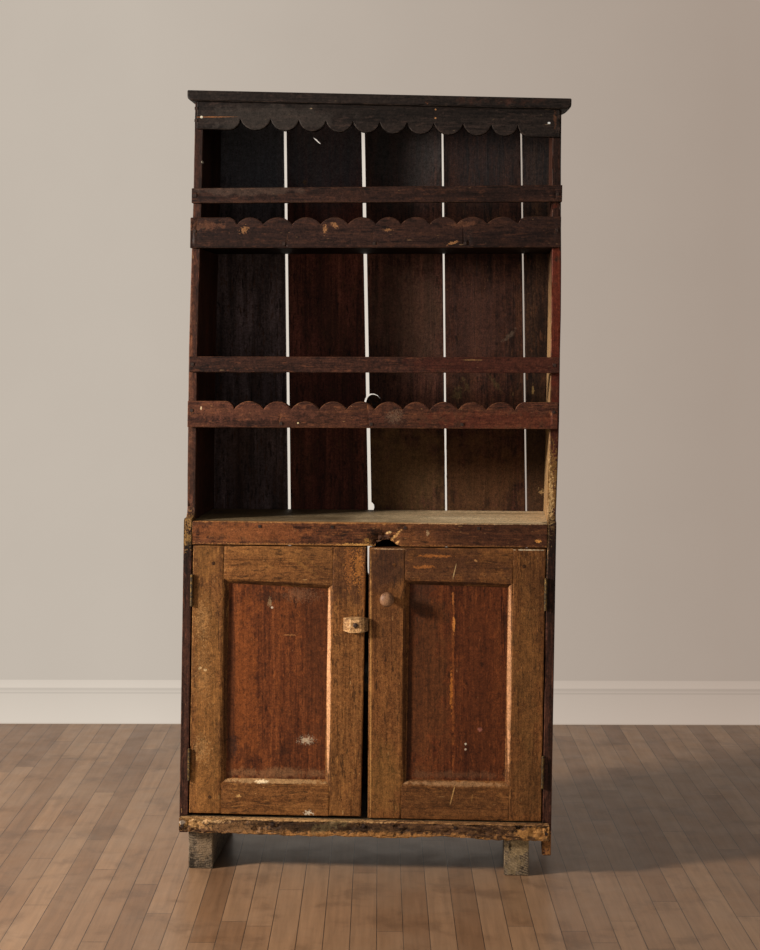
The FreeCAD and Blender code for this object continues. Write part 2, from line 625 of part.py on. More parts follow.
def back_board(left, right):
    """Upright back board. Its sides lean with the gaps, or with the case at the outside."""
    def edge(side, z):
        return side[0] + side[1] * z, z

    def top_edge(side):
        return top_line(edge(side, TOP_HEIGHT)[0]) - BACK_TOP_CLEARANCE

    path = quad(edge(left, BACK_BOTTOM), edge(right, BACK_BOTTOM),
                edge(right, top_edge(right)), edge(left, top_edge(left)))
    return front_board(path, REAR_Y, BACK_THICKNESS)


def runner(left):
    """Timber block from front to back under the bottom board, standing upright."""
    height = BOTTOM_HEIGHT - BOTTOM_THICKNESS
    length = CASE_DEPTH - RUNNER_SETBACK
    corner = FreeCAD.Vector(CENTRE_X + LEAN * height + left, FRONT_Y + RUNNER_SETBACK, 0)
    return Part.makeBox(RUNNER_WIDTH, length, height, corner)


def inner_shelf():
    """Shelf that lies on the cleats. Its front edge is the stop for both doors."""
    front = FRONT_Y + DOOR_THICKNESS + DOOR_STOP_CLEARANCE
    low = INNER_SHELF_HEIGHT - SHELF_THICKNESS
    return level_board(-INNER_HALF, INNER_HALF, front, REAR_Y, low, SHELF_THICKNESS)


def cleats():
    """Cleats nailed inside both side boards, under the inner shelf."""
    front = FRONT_Y + DOOR_THICKNESS + CLEAT_THICKNESS
    low = INNER_SHELF_HEIGHT - SHELF_THICKNESS - CLEAT_WIDTH
    left = level_board(-INNER_HALF, -INNER_HALF + CLEAT_THICKNESS, front, REAR_Y, low, CLEAT_WIDTH)
    right = level_board(INNER_HALF - CLEAT_THICKNESS, INNER_HALF, front, REAR_Y, low, CLEAT_WIDTH)
    return [left, right]


# ---------------------------------------------------------------- hinges
def hinge_heights(door_bottom):
    """Heights of a door's upper and lower hinge."""
    return (DOOR_TOP - HINGE_FROM_TOP, door_bottom + HINGE_FROM_BOTTOM)


def hinge_shape(shape, z, side):
    """Place a shape drawn round an upright hinge axis: side is 1 for the left door, -1 for the right."""
    placed = shape.copy()
    turn = FreeCAD.Rotation(FreeCAD.Vector(0, 1, 0), LEAN_DEGREES)
    seat = FreeCAD.Placement(at(-side * HINGE_AXIS_U, HINGE_AXIS_Y, z), turn)
    placed.Placement = seat.multiply(shape.Placement)
    return placed


def knuckle_spans(first):
    """Lowest and highest point of every second knuckle, starting with number first."""
    pitch = HINGE_HEIGHT / HINGE_KNUCKLES
    bottom = -HINGE_HEIGHT / 2
    return [(bottom + pitch * i + KNUCKLE_GAP / 2, bottom + pitch * (i + 1) - KNUCKLE_GAP / 2)
            for i in range(first, HINGE_KNUCKLES, 2)]


def leaf_block(side, front, rear, low, high):
    """Block of a leaf's thickness, towards +X for side 1 and towards -X for side -1."""
    near = HINGE_LEAF_GAP / 2
    left = near if side > 0 else -near - HINGE_LEAF_THICKNESS
    return Part.makeBox(HINGE_LEAF_THICKNESS, rear - front, high - low, FreeCAD.Vector(left, front, low))


def leaf_seat(side):
    """Recess for a leaf, open at the front edge of the wood where the barrel stands."""
    return leaf_block(side, 0, LEAF_REAR, -HINGE_HEIGHT / 2, HINGE_HEIGHT / 2)


def leaf_screws(side):
    """Countersunk screws of a leaf, driven away from the other leaf."""
    screws = []
    middle = (LEAF_REACH + LEAF_REAR) / 2
    cone = SCREW_HEAD_RADIUS - SCREW_RADIUS
    profile = [(0, SCREW_HEAD_RADIUS), (cone, SCREW_RADIUS), (SCREW_LENGTH, SCREW_POINT)]
    for i in (-1, 0, 1):
        y = middle + SCREW_STAGGER * (1 if i == 0 else -1)
        base = FreeCAD.Vector(side * (HINGE_LEAF_GAP / 2 + SCREW_SUNK), y, i * SCREW_SPACING)
        screws.append(faceted(profile, SCREW_SIDES, base, FreeCAD.Vector(side, 0, 0)))
    return screws


def knuckle(low, high):
    """Length of hinge barrel, its corners at the barrel's radius."""
    half_width = BARREL_RADIUS * math.cos(math.pi / BARREL_SIDES)
    return faceted([(low, half_width), (high, half_width)], BARREL_SIDES, FreeCAD.Vector(0, 0, 0), UPWARDS)


def hinge_leaf(side, first):
    """Leaf with every second knuckle, starting with number first."""
    half = HINGE_HEIGHT / 2
    leaf = leaf_block(side, LEAF_REACH, LEAF_REAR, -half, half)
    for low, high in knuckle_spans(first):
        leaf = leaf.fuse([leaf_block(side, 0, LEAF_REACH, low, high), knuckle(low, high)])
    bore = Part.makeCylinder(PIN_RADIUS + PIN_CLEARANCE, HINGE_HEIGHT, FreeCAD.Vector(0, 0, -half))
    return cut_all(leaf, [bore] + leaf_screws(side)).removeSplitter()


def hinge_pin():
    """Loose pin with a small button head on the top knuckle."""
    half = HINGE_HEIGHT / 2
    shank = Part.makeCylinder(PIN_RADIUS, HINGE_HEIGHT, FreeCAD.Vector(0, 0, -half))
    head_profile = [(half, PIN_HEAD_RADIUS), (half + PIN_HEAD_HEIGHT, PIN_RADIUS)]
    return shank.fuse(faceted(head_profile, BARREL_SIDES, FreeCAD.Vector(0, 0, 0), UPWARDS))


# ---------------------------------------------------------------- doors
def door_corners(side):
    """Outline of a door, hinge side towards the case: left door is side 1, right door -1."""
    hinge_u = INNER_HALF - HINGE_GAP
    if side > 0:
        return quad((-hinge_u, LEFT_DOOR_BOTTOM), (LEFT_EDGE_BOTTOM, LEFT_DOOR_BOTTOM),
                    (LEFT_EDGE_TOP, DOOR_TOP), (-hinge_u, DOOR_TOP))
    return quad((RIGHT_EDGE_BOTTOM, RIGHT_DOOR_BOTTOM), (hinge_u, RIGHT_DOOR_BOTTOM),
                (hinge_u, DOOR_TOP), (RIGHT_EDGE_TOP, DOOR_TOP))


def opening_corners(side):
    """Outline where the bevel meets the face of the door's frame."""
    corners = door_corners(side)
    if side > 0:
        left = -(INNER_HALF - HINGE_GAP) + LEFT_HINGE_STILE
        right = LEFT_EDGE_TOP - LEFT_LOCK_STILE
        low = LEFT_DOOR_BOTTOM + LEFT_BOTTOM_RAIL
        tops = (DOOR_TOP - LEFT_TOP_RAIL_HINGE_END, DOOR_TOP - LEFT_TOP_RAIL_LOCK_END)
    else:
        left = corners[0][0] + RIGHT_LOCK_STILE
        right = INNER_HALF - HINGE_GAP - RIGHT_HINGE_STILE
        low = RIGHT_DOOR_BOTTOM + RIGHT_BOTTOM_RAIL
        tops = (DOOR_TOP - RIGHT_TOP_RAIL_LOCK_END, DOOR_TOP - RIGHT_TOP_RAIL_HINGE_END)
    return quad((left, low), (right, low), (right, tops[1]), (left, tops[0]))


def tenon_spans(side):
    """Lowest and highest point of the tenons of the bottom rail and of the top rail."""
    corners = door_corners(side)
    opening = opening_corners(side)
    lowest_top = max(opening[2][1], opening[3][1])
    return ((corners[0][1] + TENON_SHOULDER, opening[0][1] - TENON_INNER_SHOULDER),
            (lowest_top + TENON_INNER_SHOULDER, DOOR_TOP - TENON_SHOULDER))


def tenons(side, extra):
    """Tenons, or with extra length the mortises: for each rail one at the left and one at the right."""
    opening = opening_corners(side)
    left = opening[0][0]
    right = opening[1][0]
    reach = TENON_LENGTH + extra
    pairs = []
    for low, high in tenon_spans(side):
        pair = []
        for start, end in ((left - reach, left + TENON_ROOT), (right - TENON_ROOT, right + reach)):
            path = quad((start, low), (end, low), (end, high), (start, high))
            pair.append(front_board(path, FRONT_Y + TENON_FACE, TENON_THICKNESS))
        pairs.append(pair)
    return pairs


def peg(u, z, radius):
    """Whittled peg straight through a door's frame at (u, z)."""
    profile = [(0, radius), (DOOR_THICKNESS + PEG_PROUD, radius)]
    return faceted(profile, PEG_SIDES, at(u, FRONT_Y - PEG_PROUD, z), BACKWARDS)


def peg_places(side):
    """A peg through each tenon, midway across its stile."""
    opening = opening_corners(side)
    places = []
    for low, high in tenon_spans(side):
        for u in (opening[0][0] - TENON_LENGTH / 2, opening[1][0] + TENON_LENGTH / 2):
            places.append((u, (low + high) / 2))
    return places


def opening_tool(side):
    """All that is cut away inside a door's frame: bevel, clear opening and panel groove."""
    opening = opening_corners(side)
    clear = inset(opening, BEVEL_WIDTH)
    face = FRONT_Y + BEVEL_DEPTH
    outside = FRONT_Y - OVERCUT * BEVEL_DEPTH / BEVEL_WIDTH
    bevel = frustum(inset(opening, -OVERCUT), outside, clear, face)
    through = front_board(clear, face, DOOR_THICKNESS)
    groove = front_board(inset(clear, -GROOVE_DEPTH), face, GROOVE_THICKNESS)
    return bevel.fuse([through, groove])


def wedge_tool(u, direction):
    """The bevel's waste along a whole stile, under the coped ends of the rails."""
    low = min(LEFT_DOOR_BOTTOM, RIGHT_DOOR_BOTTOM)
    far = u + direction * BEVEL_WIDTH
    corners = [at(u, FRONT_Y, low), at(far, FRONT_Y, low), at(far, FRONT_Y + BEVEL_DEPTH, low)]
    face = Part.Face(Part.makePolygon(corners + corners[:1]))
    rise = DOOR_TOP - low
    return face.extrude(FreeCAD.Vector(LEAN * rise, 0, rise))


def panel(side):
    """Panel: a tongue all round, and a raised field on the back."""
    clear = inset(opening_corners(side), BEVEL_WIDTH)
    tongue_outline = inset(clear, PANEL_PLAY - GROOVE_DEPTH)
    front = FRONT_Y + BEVEL_DEPTH + PANEL_CLEARANCE
    tongue_back = FRONT_Y + BEVEL_DEPTH + GROOVE_THICKNESS - PANEL_CLEARANCE
    back = FRONT_Y + DOOR_THICKNESS - PANEL_BACK_SETBACK
    tongue = front_board(tongue_outline, front, tongue_back - front)
    field = frustum(inset(clear, PANEL_CLEARANCE), tongue_back, inset(clear, PANEL_FIELD_INSET), back)
    return tongue.fuse(field).removeSplitter()


def door_board(outline):
    """Board of a door's full thickness."""
    return front_board(outline, FRONT_Y, DOOR_THICKNESS)


def door(side, name):
    """All nodes of a door, by name."""
    corners = door_corners(side)
    opening = opening_corners(side)
    left_open, right_open = opening[0][0], opening[1][0]
    tool = opening_tool(side)
    seats = []
    for z in hinge_heights(corners[0][1]):
        seats.append(hinge_shape(leaf_seat(side), z, side))
        seats += [hinge_shape(s, z, side) for s in leaf_screws(side)]
    pegs = [peg(u, z, PEG_RADIUS) for u, z in peg_places(side)]
    holes = [peg(u, z, PEG_RADIUS + PEG_FIT) for u, z in peg_places(side)]
    mortises = [m for pair in tenons(side, TENON_END_PLAY) for m in pair]

    left_inner = left_open + BEVEL_WIDTH
    right_inner = right_open - BEVEL_WIDTH
    left_outline = quad(corners[0], (left_inner, corners[0][1]), (left_inner, DOOR_TOP), corners[3])
    right_outline = quad((right_inner, corners[1][1]), corners[1], corners[2], (right_inner, DOOR_TOP))
    left_stile = cut_all(door_board(left_outline), [wedge_tool(left_open, 1)])
    right_stile = cut_all(door_board(right_outline), [wedge_tool(right_open, -1)])

    bottom_outline = quad((left_open, corners[0][1]), (right_open, corners[0][1]),
                          (right_open, opening[1][1] + BEVEL_WIDTH), (left_open, opening[0][1] + BEVEL_WIDTH))
    top_outline = quad((left_open, opening[3][1] - BEVEL_WIDTH), (right_open, opening[2][1] - BEVEL_WIDTH),
                       (right_open, DOOR_TOP), (left_open, DOOR_TOP))
    rails = []
    for outline, pair in zip((bottom_outline, top_outline), tenons(side, 0)):
        body = cut_all(door_board(outline), [left_stile, right_stile, tool])
        rails.append(cut_all(body.fuse(pair), holes).removeSplitter())
    left_stile = cut_all(left_stile, [tool] + mortises + holes + (seats if side > 0 else lock_holes(side)))
    right_stile = cut_all(right_stile, [tool] + mortises + holes + (lock_holes(side) if side > 0 else seats))

    hinge_stile, lock_stile = (left_stile, right_stile) if side > 0 else (right_stile, left_stile)
    nodes = {
        name + "_door_hinge_stile": hinge_stile,
        name + "_door_lock_stile": lock_stile,
        name + "_door_top_rail": rails[1],
        name + "_door_bottom_rail": rails[0],
        name + "_door_panel": panel(side),
        name + "_door_pegs": grouped(pegs),
    }
    screws = []
    for label, z in zip(("upper", "lower"), hinge_heights(corners[0][1])):
        nodes[name + "_" + label + "_hinge_door_leaf"] = hinge_shape(hinge_leaf(side, 1), z, side)
        screws += [hinge_shape(s, z, side) for s in leaf_screws(side)]
    nodes[name + "_door_hinge_screws"] = grouped(screws)
    return nodes


def lock_holes(side):
    """Hole in a lock stile: the button's pivot in the left door, the knob's shank in the right."""
    return [button_pivot()] if side > 0 else [knob()]


# ---------------------------------------------------------------- button and knob
def edge_u(bottom_u, top_u, bottom_z, z):
    """Place of a meeting edge at height z."""
    return bottom_u + (top_u - bottom_u) * (z - bottom_z) / (DOOR_TOP - bottom_z)


def button_place():
    """Pivot of the turn button: its nose ends just short of the right door."""
    nose = edge_u(RIGHT_EDGE_BOTTOM, RIGHT_EDGE_TOP, RIGHT_DOOR_BOTTOM, BUTTON_HEIGHT) - BUTTON_NOSE_CLEARANCE
    return nose - BUTTON_LENGTH / 2, BUTTON_HEIGHT


def knob_place():
    """Centre of the knob on the right door's lock stile."""
    edge = edge_u(RIGHT_EDGE_BOTTOM, RIGHT_EDGE_TOP, RIGHT_DOOR_BOTTOM, KNOB_HEIGHT)
    return edge + KNOB_FROM_EDGE, KNOB_HEIGHT


def turn_button():
    """Whittled button: full thickness in the middle, bevelled down towards both ends."""
    u, z = button_place()
    half = BUTTON_LENGTH / 2
    flat = BUTTON_FLAT / 2
    middle = BUTTON_WIDTH / 2
    end = middle - BUTTON_TAPER
    back = FRONT_Y - BUTTON_FACE_CLEARANCE
    outline = [(u - half, z - end), (u - flat, z - middle), (u + flat, z - middle), (u + half, z - end),
               (u + half, z + end), (u + flat, z + middle), (u - flat, z + middle), (u - half, z + end)]
    face = back - BUTTON_THICKNESS
    blank = front_board(outline, face, BUTTON_THICKNESS)
    tools = [Part.makeCylinder(PIVOT_RADIUS + PIVOT_CLEARANCE, BUTTON_THICKNESS, at(u, face, z), BACKWARDS)]
    for sign in (-1, 1):
        low = z - BUTTON_WIDTH
        corners = [at(u + sign * flat, face, low), at(u + sign * half, back - BUTTON_END_THICKNESS, low),
                   at(u + sign * half, face, low)]
        rise = BUTTON_WIDTH * 2
        slope = Part.Face(Part.makePolygon(corners + corners[:1]))
        tools.append(slope.extrude(FreeCAD.Vector(LEAN * rise, 0, rise)))
    return cut_all(blank, tools)


def button_pivot():
    """Screw that the button turns on, with a domed head."""
    u, z = button_place()
    under_head = FRONT_Y - BUTTON_FACE_CLEARANCE - BUTTON_THICKNESS - BUTTON_FACE_CLEARANCE
    base = at(u, under_head, z)
    head_profile = [(-PIVOT_HEAD_HEIGHT, PIVOT_CROWN_RADIUS), (0, PIVOT_HEAD_RADIUS)]
    head = faceted(head_profile, PIVOT_SIDES, base, BACKWARDS)
    return head.fuse(Part.makeCylinder(PIVOT_RADIUS, PIVOT_LENGTH, base, BACKWARDS))


def knob():
    """Turned mushroom knob: flange, neck, round crown, and a shank through the stile."""
    u, z = knob_place()
    profile = [(-DOOR_THICKNESS, KNOB_SHANK_RADIUS), (0, KNOB_SHANK_RADIUS), (0, KNOB_FLANGE_RADIUS),
               (KNOB_FLANGE_THICKNESS, KNOB_FLANGE_RADIUS), (KNOB_NECK_START, KNOB_NECK_RADIUS)]
    half = (KNOB_LENGTH - KNOB_NECK_END) / 2
    first = -math.acos(KNOB_NECK_RADIUS / KNOB_RADIUS)
    for angle in spread(first, -first, KNOB_BANDS + 1):
        share = math.sin(angle) / math.sin(-first)
        profile.append((KNOB_NECK_END + half + half * share, KNOB_RADIUS * math.cos(angle)))
    return faceted(profile, KNOB_SIDES, at(u, FRONT_Y, z), FORWARDS)


# ---------------------------------------------------------------- whole cupboard
def case_nodes():
    """Every node of the case, by name."""
    nails = nail_groups()
    through_sides = ["top_nails", "frieze_nails", "plate_rail_nails", "scalloped_front_nails",
                     "base_rail_nails"]
    held = {
        "side_left": through_sides,
        "side_right": through_sides,
        "top_board": ["top_nails"],
        "frieze": ["frieze_nails"],
        "plate_rail_upper": ["plate_rail_nails"],
        "plate_rail_lower": ["plate_rail_nails"],
        "scalloped_front_upper": ["scalloped_front_nails"],
        "scalloped_front_lower": ["scalloped_front_nails"],
        "shelf_upper": ["scalloped_front_nails", "back_nails"],
        "shelf_lower": ["scalloped_front_nails"],
        "counter_front_rail": ["counter_rail_nails"],
        "counter_board": ["counter_rail_nails", "back_nails"],
        "base_rail": ["base_rail_nails"],
        "bottom_board": ["base_rail_nails", "back_nails"],
    }
    nodes = {
        "side_left": side_board(-HALF_WIDTH, 1, worn_bottom(), LEFT_DOOR_BOTTOM),
        "side_right": side_board(INNER_HALF, -1, footed_bottom(), RIGHT_DOOR_BOTTOM),
        "top_board": top_board(),
        "frieze": frieze(),
        "plate_rail_upper": plate_rail(UPPER_RAIL_HEIGHT, UPPER_RAIL_WIDTH_LEFT, UPPER_RAIL_WIDTH_RIGHT),
        "plate_rail_lower": plate_rail(LOWER_RAIL_HEIGHT, LOWER_RAIL_WIDTH, LOWER_RAIL_WIDTH),
        "scalloped_front_upper": scalloped_front(UPPER_SHELF_HEIGHT, UPPER_SCALLOP_WIDTH,
                                                 UPPER_SCALLOP_DEPTH, UPPER_UNEVEN),
        "scalloped_front_lower": scalloped_front(LOWER_SHELF_HEIGHT, LOWER_SCALLOP_WIDTH,
                                                 LOWER_SCALLOP_DEPTH, LOWER_UNEVEN),
        "counter_front_rail": counter_front_rail(),
        "base_rail": base_rail(),
        "inner_shelf": inner_shelf(),
        "shelf_cleats": grouped(cleats()),
    }
    housed_names = ("shelf_upper", "shelf_lower", "counter_board", "bottom_board")
    for name, (z, thickness, front) in zip(housed_names, housings()):
        nodes[name] = housed_board(z, thickness, front)
    for i, (left, right) in enumerate(back_spans()):
        nodes["back_board_" + str(i + 1)] = back_board(left, right)
        held["back_board_" + str(i + 1)] = ["back_nails"]
    nodes["runner_left"] = runner(-INNER_HALF + RUNNER_CLEARANCE)
    nodes["runner_right"] = runner(INNER_HALF - RUNNER_INSET_RIGHT - RUNNER_WIDTH)
    for name, groups in held.items():
        nodes[name] = cut_all(nodes[name], [n for group in groups for n in nails[group]])
    for name, group in nails.items():
        nodes[name] = grouped(group)
    return nodes


def hinge_nodes():
    """Case leaves, pins and case screws of all four hinges."""
    nodes = {}
    pins = []
    screws = []
    for name, side, bottom in (("left", 1, LEFT_DOOR_BOTTOM), ("right", -1, RIGHT_DOOR_BOTTOM)):
        for label, z in zip(("upper", "lower"), hinge_heights(bottom)):
            nodes[name + "_" + label + "_hinge_case_leaf"] = hinge_shape(hinge_leaf(-side, 0), z, side)
            pins.append(hinge_shape(hinge_pin(), z, side))
            screws += [hinge_shape(s, z, side) for s in leaf_screws(-side)]
    nodes["hinge_pins"] = grouped(pins)
    nodes["hinge_case_screws"] = grouped(screws)
    return nodes


def main():
    """Build every node and write one STEP file for each."""
    os.makedirs("parts", exist_ok=True)
    nodes = case_nodes()
    nodes.update(hinge_nodes())
    nodes.update(door(1, "left"))
    nodes.update(door(-1, "right"))
    nodes["turn_button"] = turn_button()
    nodes["button_pivot"] = button_pivot()
    nodes["door_knob"] = knob()
    for name, shape in nodes.items():
        shape.exportStep(os.path.join("parts", name + ".step"))


main()
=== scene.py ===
"""Looks of the step back cupboard: worn pine boards, old ironwork, a painted wall and a boarded floor.

Every sub-assembly is a class whose fields hold its sizes and places. The boards start from the
fixed frame's own solids, then get sliced, worn at their edges and pierced, so that they stand
where the frame has them. All lengths are in metres.
"""
import json
import logging
import math
from collections.abc import Mapping
from dataclasses import dataclass, field, replace
from enum import Enum

import bmesh
import bpy
from mathutils import Matrix, Vector, noise
from mathutils.kdtree import KDTree


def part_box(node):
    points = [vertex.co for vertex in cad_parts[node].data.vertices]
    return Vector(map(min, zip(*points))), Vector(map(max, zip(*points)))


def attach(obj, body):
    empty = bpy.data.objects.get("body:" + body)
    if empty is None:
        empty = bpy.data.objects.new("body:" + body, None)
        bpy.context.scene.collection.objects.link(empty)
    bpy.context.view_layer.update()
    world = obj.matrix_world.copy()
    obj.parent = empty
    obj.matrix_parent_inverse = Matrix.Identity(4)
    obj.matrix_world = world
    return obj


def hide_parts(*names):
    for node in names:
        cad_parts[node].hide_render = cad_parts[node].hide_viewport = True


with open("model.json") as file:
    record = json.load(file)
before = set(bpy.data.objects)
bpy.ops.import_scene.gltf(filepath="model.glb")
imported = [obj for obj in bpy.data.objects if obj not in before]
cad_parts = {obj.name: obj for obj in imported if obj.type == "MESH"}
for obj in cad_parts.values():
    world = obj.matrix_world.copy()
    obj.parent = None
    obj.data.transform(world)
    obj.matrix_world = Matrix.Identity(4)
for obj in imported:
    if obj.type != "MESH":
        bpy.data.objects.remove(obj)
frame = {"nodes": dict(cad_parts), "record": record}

LOG = logging.getLogger("cupboard")
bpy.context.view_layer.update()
Colour = tuple[float, float, float, float]
Place = tuple[float, float, float]
Value = bpy.types.NodeSocket | float | tuple
Inlet = Mapping[str, bpy.types.NodeSocket]


class Along(Enum):
    """Axis that a board's grain follows."""

    WIDTH = 0
    DEPTH = 1
    HEIGHT = 2


class Body(Enum):
    """Bodies of the frame that carry pieces with no frame solid of their own."""

    CASE = "case"
    RIGHT_DOOR = "right_door"


def linear(code: str) -> Colour:
    """Turn a colour written as six hex digits into linear light.

    Args:
        code: red, green and blue as hex digits, such as "7a5128".

    Returns:
        The colour with full opacity.
    """
    parts = [int(code[i:i + 2], 16) / 255 for i in (0, 2, 4)]
    red, green, blue = (c / 12.92 if c <= 0.04045 else ((c + 0.055) / 1.055) ** 2.4 for c in parts)
    return (red, green, blue, 1.0)


def scaled(code: str, shares: tuple[float, float, float]) -> str:
    """Make a colour darker or lighter in linear light.

    Args:
        code: the colour as six hex digits.
        shares: what its red, green and blue light are multiplied by.

    Returns:
        The new colour as six hex digits.
    """
    light = [min(1.0, c * share) for c, share in zip(linear(code), shares)]
    parts = [12.92 * c if c <= 0.0031308 else 1.055 * c ** (1 / 2.4) - 0.055 for c in light]
    return "".join(f"{round(255 * c):02x}" for c in parts)


# ------------------------------------------------------------------ shader building
class Graph:
    """A shader node tree and short ways to wire it."""

    def __init__(self, tree: bpy.types.NodeTree) -> None:
        """Keep the tree that the nodes go into."""
        self.tree = tree

    def node(self, kind: str, inputs: dict | None = None, **settings: str | bool | float) -> bpy.types.Node:
        """Add a node.

        Args:
            kind: the node's type name.
            inputs: sockets, values or links by input name or number.
            **settings: properties of the node.

        Returns:
            The new node.
        """
        made = self.tree.nodes.new(kind)
        for key, value in settings.items():
            setattr(made, key, value)
        for key, value in (inputs or {}).items():
            self.feed(made.inputs[key], value)
        return made

    def feed(self, socket: bpy.types.NodeSocket, value: Value) -> None:
        """Link a socket to another one, or set its value."""
        if isinstance(value, bpy.types.NodeSocket):
            self.tree.links.new(value, socket)
        else:
            socket.default_value = value

    def math(self, operation: str, a: Value, b: Value = 0.0, clamp: bool = False) -> bpy.types.NodeSocket:
        """Result of a two-value operation."""
        return self.node("ShaderNodeMath", {0: a, 1: b}, operation=operation, use_clamp=clamp).outputs[0]

    def vector(self, operation: str, a: Value, b: Value) -> bpy.types.NodeSocket:
        """Result of a two-vector operation."""
        return self.node("ShaderNodeVectorMath", {0: a, 1: b}, operation=operation).outputs[0]

    def mix(self, factor: Value, a: Value, b: Value, blend: str = "MIX") -> bpy.types.NodeSocket:
        """Colour between a and b."""
        made = self.node("ShaderNodeMix", data_type="RGBA", blend_type=blend, clamp_factor=True)
        for index, value in ((0, factor), (6, a), (7, b)):
            self.feed(made.inputs[index], value)
        return made.outputs[2]

    def ramp(self, factor: Value, stops: list[tuple[float, Colour]]) -> bpy.types.NodeSocket:
        """Colour from a ramp of (place, colour) stops."""
        made = self.node("ShaderNodeValToRGB", {0: factor})
        elements = made.color_ramp.elements
        while len(elements) < len(stops):
            elements.new(0.5)
        for element, (place, colour) in zip(elements, stops):
            element.position = place
            element.color = colour
        return made.outputs[0]

    def noise(self, vector: Value, scale: Value, detail: float = 3.0, rough: float = 0.55,
              twist: float = 0.0) -> bpy.types.NodeSocket:
        """Smooth noise from 0 to 1."""
        return self.node("ShaderNodeTexNoise", {"Vector": vector, "Scale": scale, "Detail": detail,
                                                "Roughness": rough, "Distortion": twist}).outputs[0]

    def step(self, value: Value, low: Value, high: Value) -> bpy.types.NodeSocket:
        """Smooth step of a value from 0 at low to 1 at high."""
        made = self.node("ShaderNodeMapRange", {0: value, 1: low, 2: high}, interpolation_type="SMOOTHSTEP")
        return made.outputs[0]

    def vary(self, colour: Value, value: Value, amount: float, start: float = 0.3,
             end: float = 0.7) -> bpy.types.NodeSocket:
        """Colour made darker or lighter by up to an amount, as a value goes from start to end."""
        share = self.spread(value, 1.0 - amount, 1.0 + amount, start, end)
        return self.node("ShaderNodeVectorMath", {0: colour, "Scale": share}, operation="SCALE").outputs[0]

    def spread(self, value: Value, low: float, high: float, start: float = 0.0,
               end: float = 1.0) -> bpy.types.NodeSocket:
        """Value that goes from low to high, as another goes from start to end."""
        return self.node("ShaderNodeMapRange", {0: value, 1: start, 2: end, 3: low, 4: high}).outputs[0]

    def length(self, vector: Value) -> bpy.types.NodeSocket:
        """Length of a vector."""
        return self.node("ShaderNodeVectorMath", {0: vector}, operation="LENGTH").outputs["Value"]

    def looked_at(self) -> bpy.types.NodeSocket:
        """1 for camera, mirrored and refracted rays, 0 for the rays that carry light."""
        path = self.node("ShaderNodeLightPath").outputs
        mirrored = self.math("MAXIMUM", path["Is Glossy Ray"], path["Is Transmission Ray"])
        return self.math("MAXIMUM", path["Is Camera Ray"], mirrored)

    def group(self, tree: bpy.types.NodeTree, inputs: dict) -> bpy.types.Node:
        """Place a shared group."""
        return self.node("ShaderNodeGroup", inputs, node_tree=tree)


def new_material(name: str) -> tuple[bpy.types.Material, Graph]:
    """Empty material and the graph that fills it."""
    made = bpy.data.materials.new(name)
    made.use_nodes = True
    made.node_tree.nodes.clear()
    return made, Graph(made.node_tree)


def new_object(name: str, data: bpy.types.ID) -> bpy.types.Object:
    """Object in the scene that shows a mesh, a camera or a lamp."""
    made = bpy.data.objects.new(name, data)
    bpy.context.scene.collection.objects.link(made)
    return made


def shown_mesh(name: str, mesh: bmesh.types.BMesh) -> bpy.types.Object:
    """Object made from a worked mesh, which is freed."""
    data = bpy.data.meshes.new(name)
    mesh.to_mesh(data)
    mesh.free()
    return new_object(name, data)


def loft(mesh: bmesh.types.BMesh, rings: list[list[bmesh.types.BMVert]]) -> None:
    """Join rings of points with faces, each to the next."""
    for near, far in zip(rings, rings[1:]):
        for i in range(len(near)):
            j = (i + 1) % len(near)
            mesh.faces.new((near[j], near[i], far[i], far[j]))


@dataclass(frozen=True)
class Socket:
    """Named input or output of a shared group."""

    name: str
    kind: str = "NodeSocketFloat"
    value: float | tuple | None = None


class Effect:
    """A shared shader group, built once."""

    title = ""
    takes: tuple[Socket, ...] = ()
    gives: tuple[Socket, ...] = ()
    built: dict[str, bpy.types.NodeTree] = {}

    def tree(self) -> bpy.types.NodeTree:
        """The group's node tree, made at its first use."""
        if self.title not in Effect.built:
            made = bpy.data.node_groups.new(self.title, "ShaderNodeTree")
            for socket in self.takes:
                item = made.interface.new_socket(socket.name, in_out="INPUT", socket_type=socket.kind)
                if socket.value is not None:
                    item.default_value = socket.value
            for socket in self.gives:
                made.interface.new_socket(socket.name, in_out="OUTPUT", socket_type=socket.kind)
            graph = Graph(made)
            inlet = graph.node("NodeGroupInput")
            outlet = graph.node("NodeGroupOutput")
            for name, result in self.wire(graph, inlet.outputs).items():
                graph.feed(outlet.inputs[name], result)
            Effect.built[self.title] = made
        return Effect.built[self.title]

    def wire(self, graph: Graph, inlet: Inlet) -> dict[str, bpy.types.NodeSocket]:
        """Build the inside of the group.

        Args:
            graph: where the nodes go.
            inlet: the group's inputs by name.

        Returns:
            A socket for each output name.
        """
        raise NotImplementedError


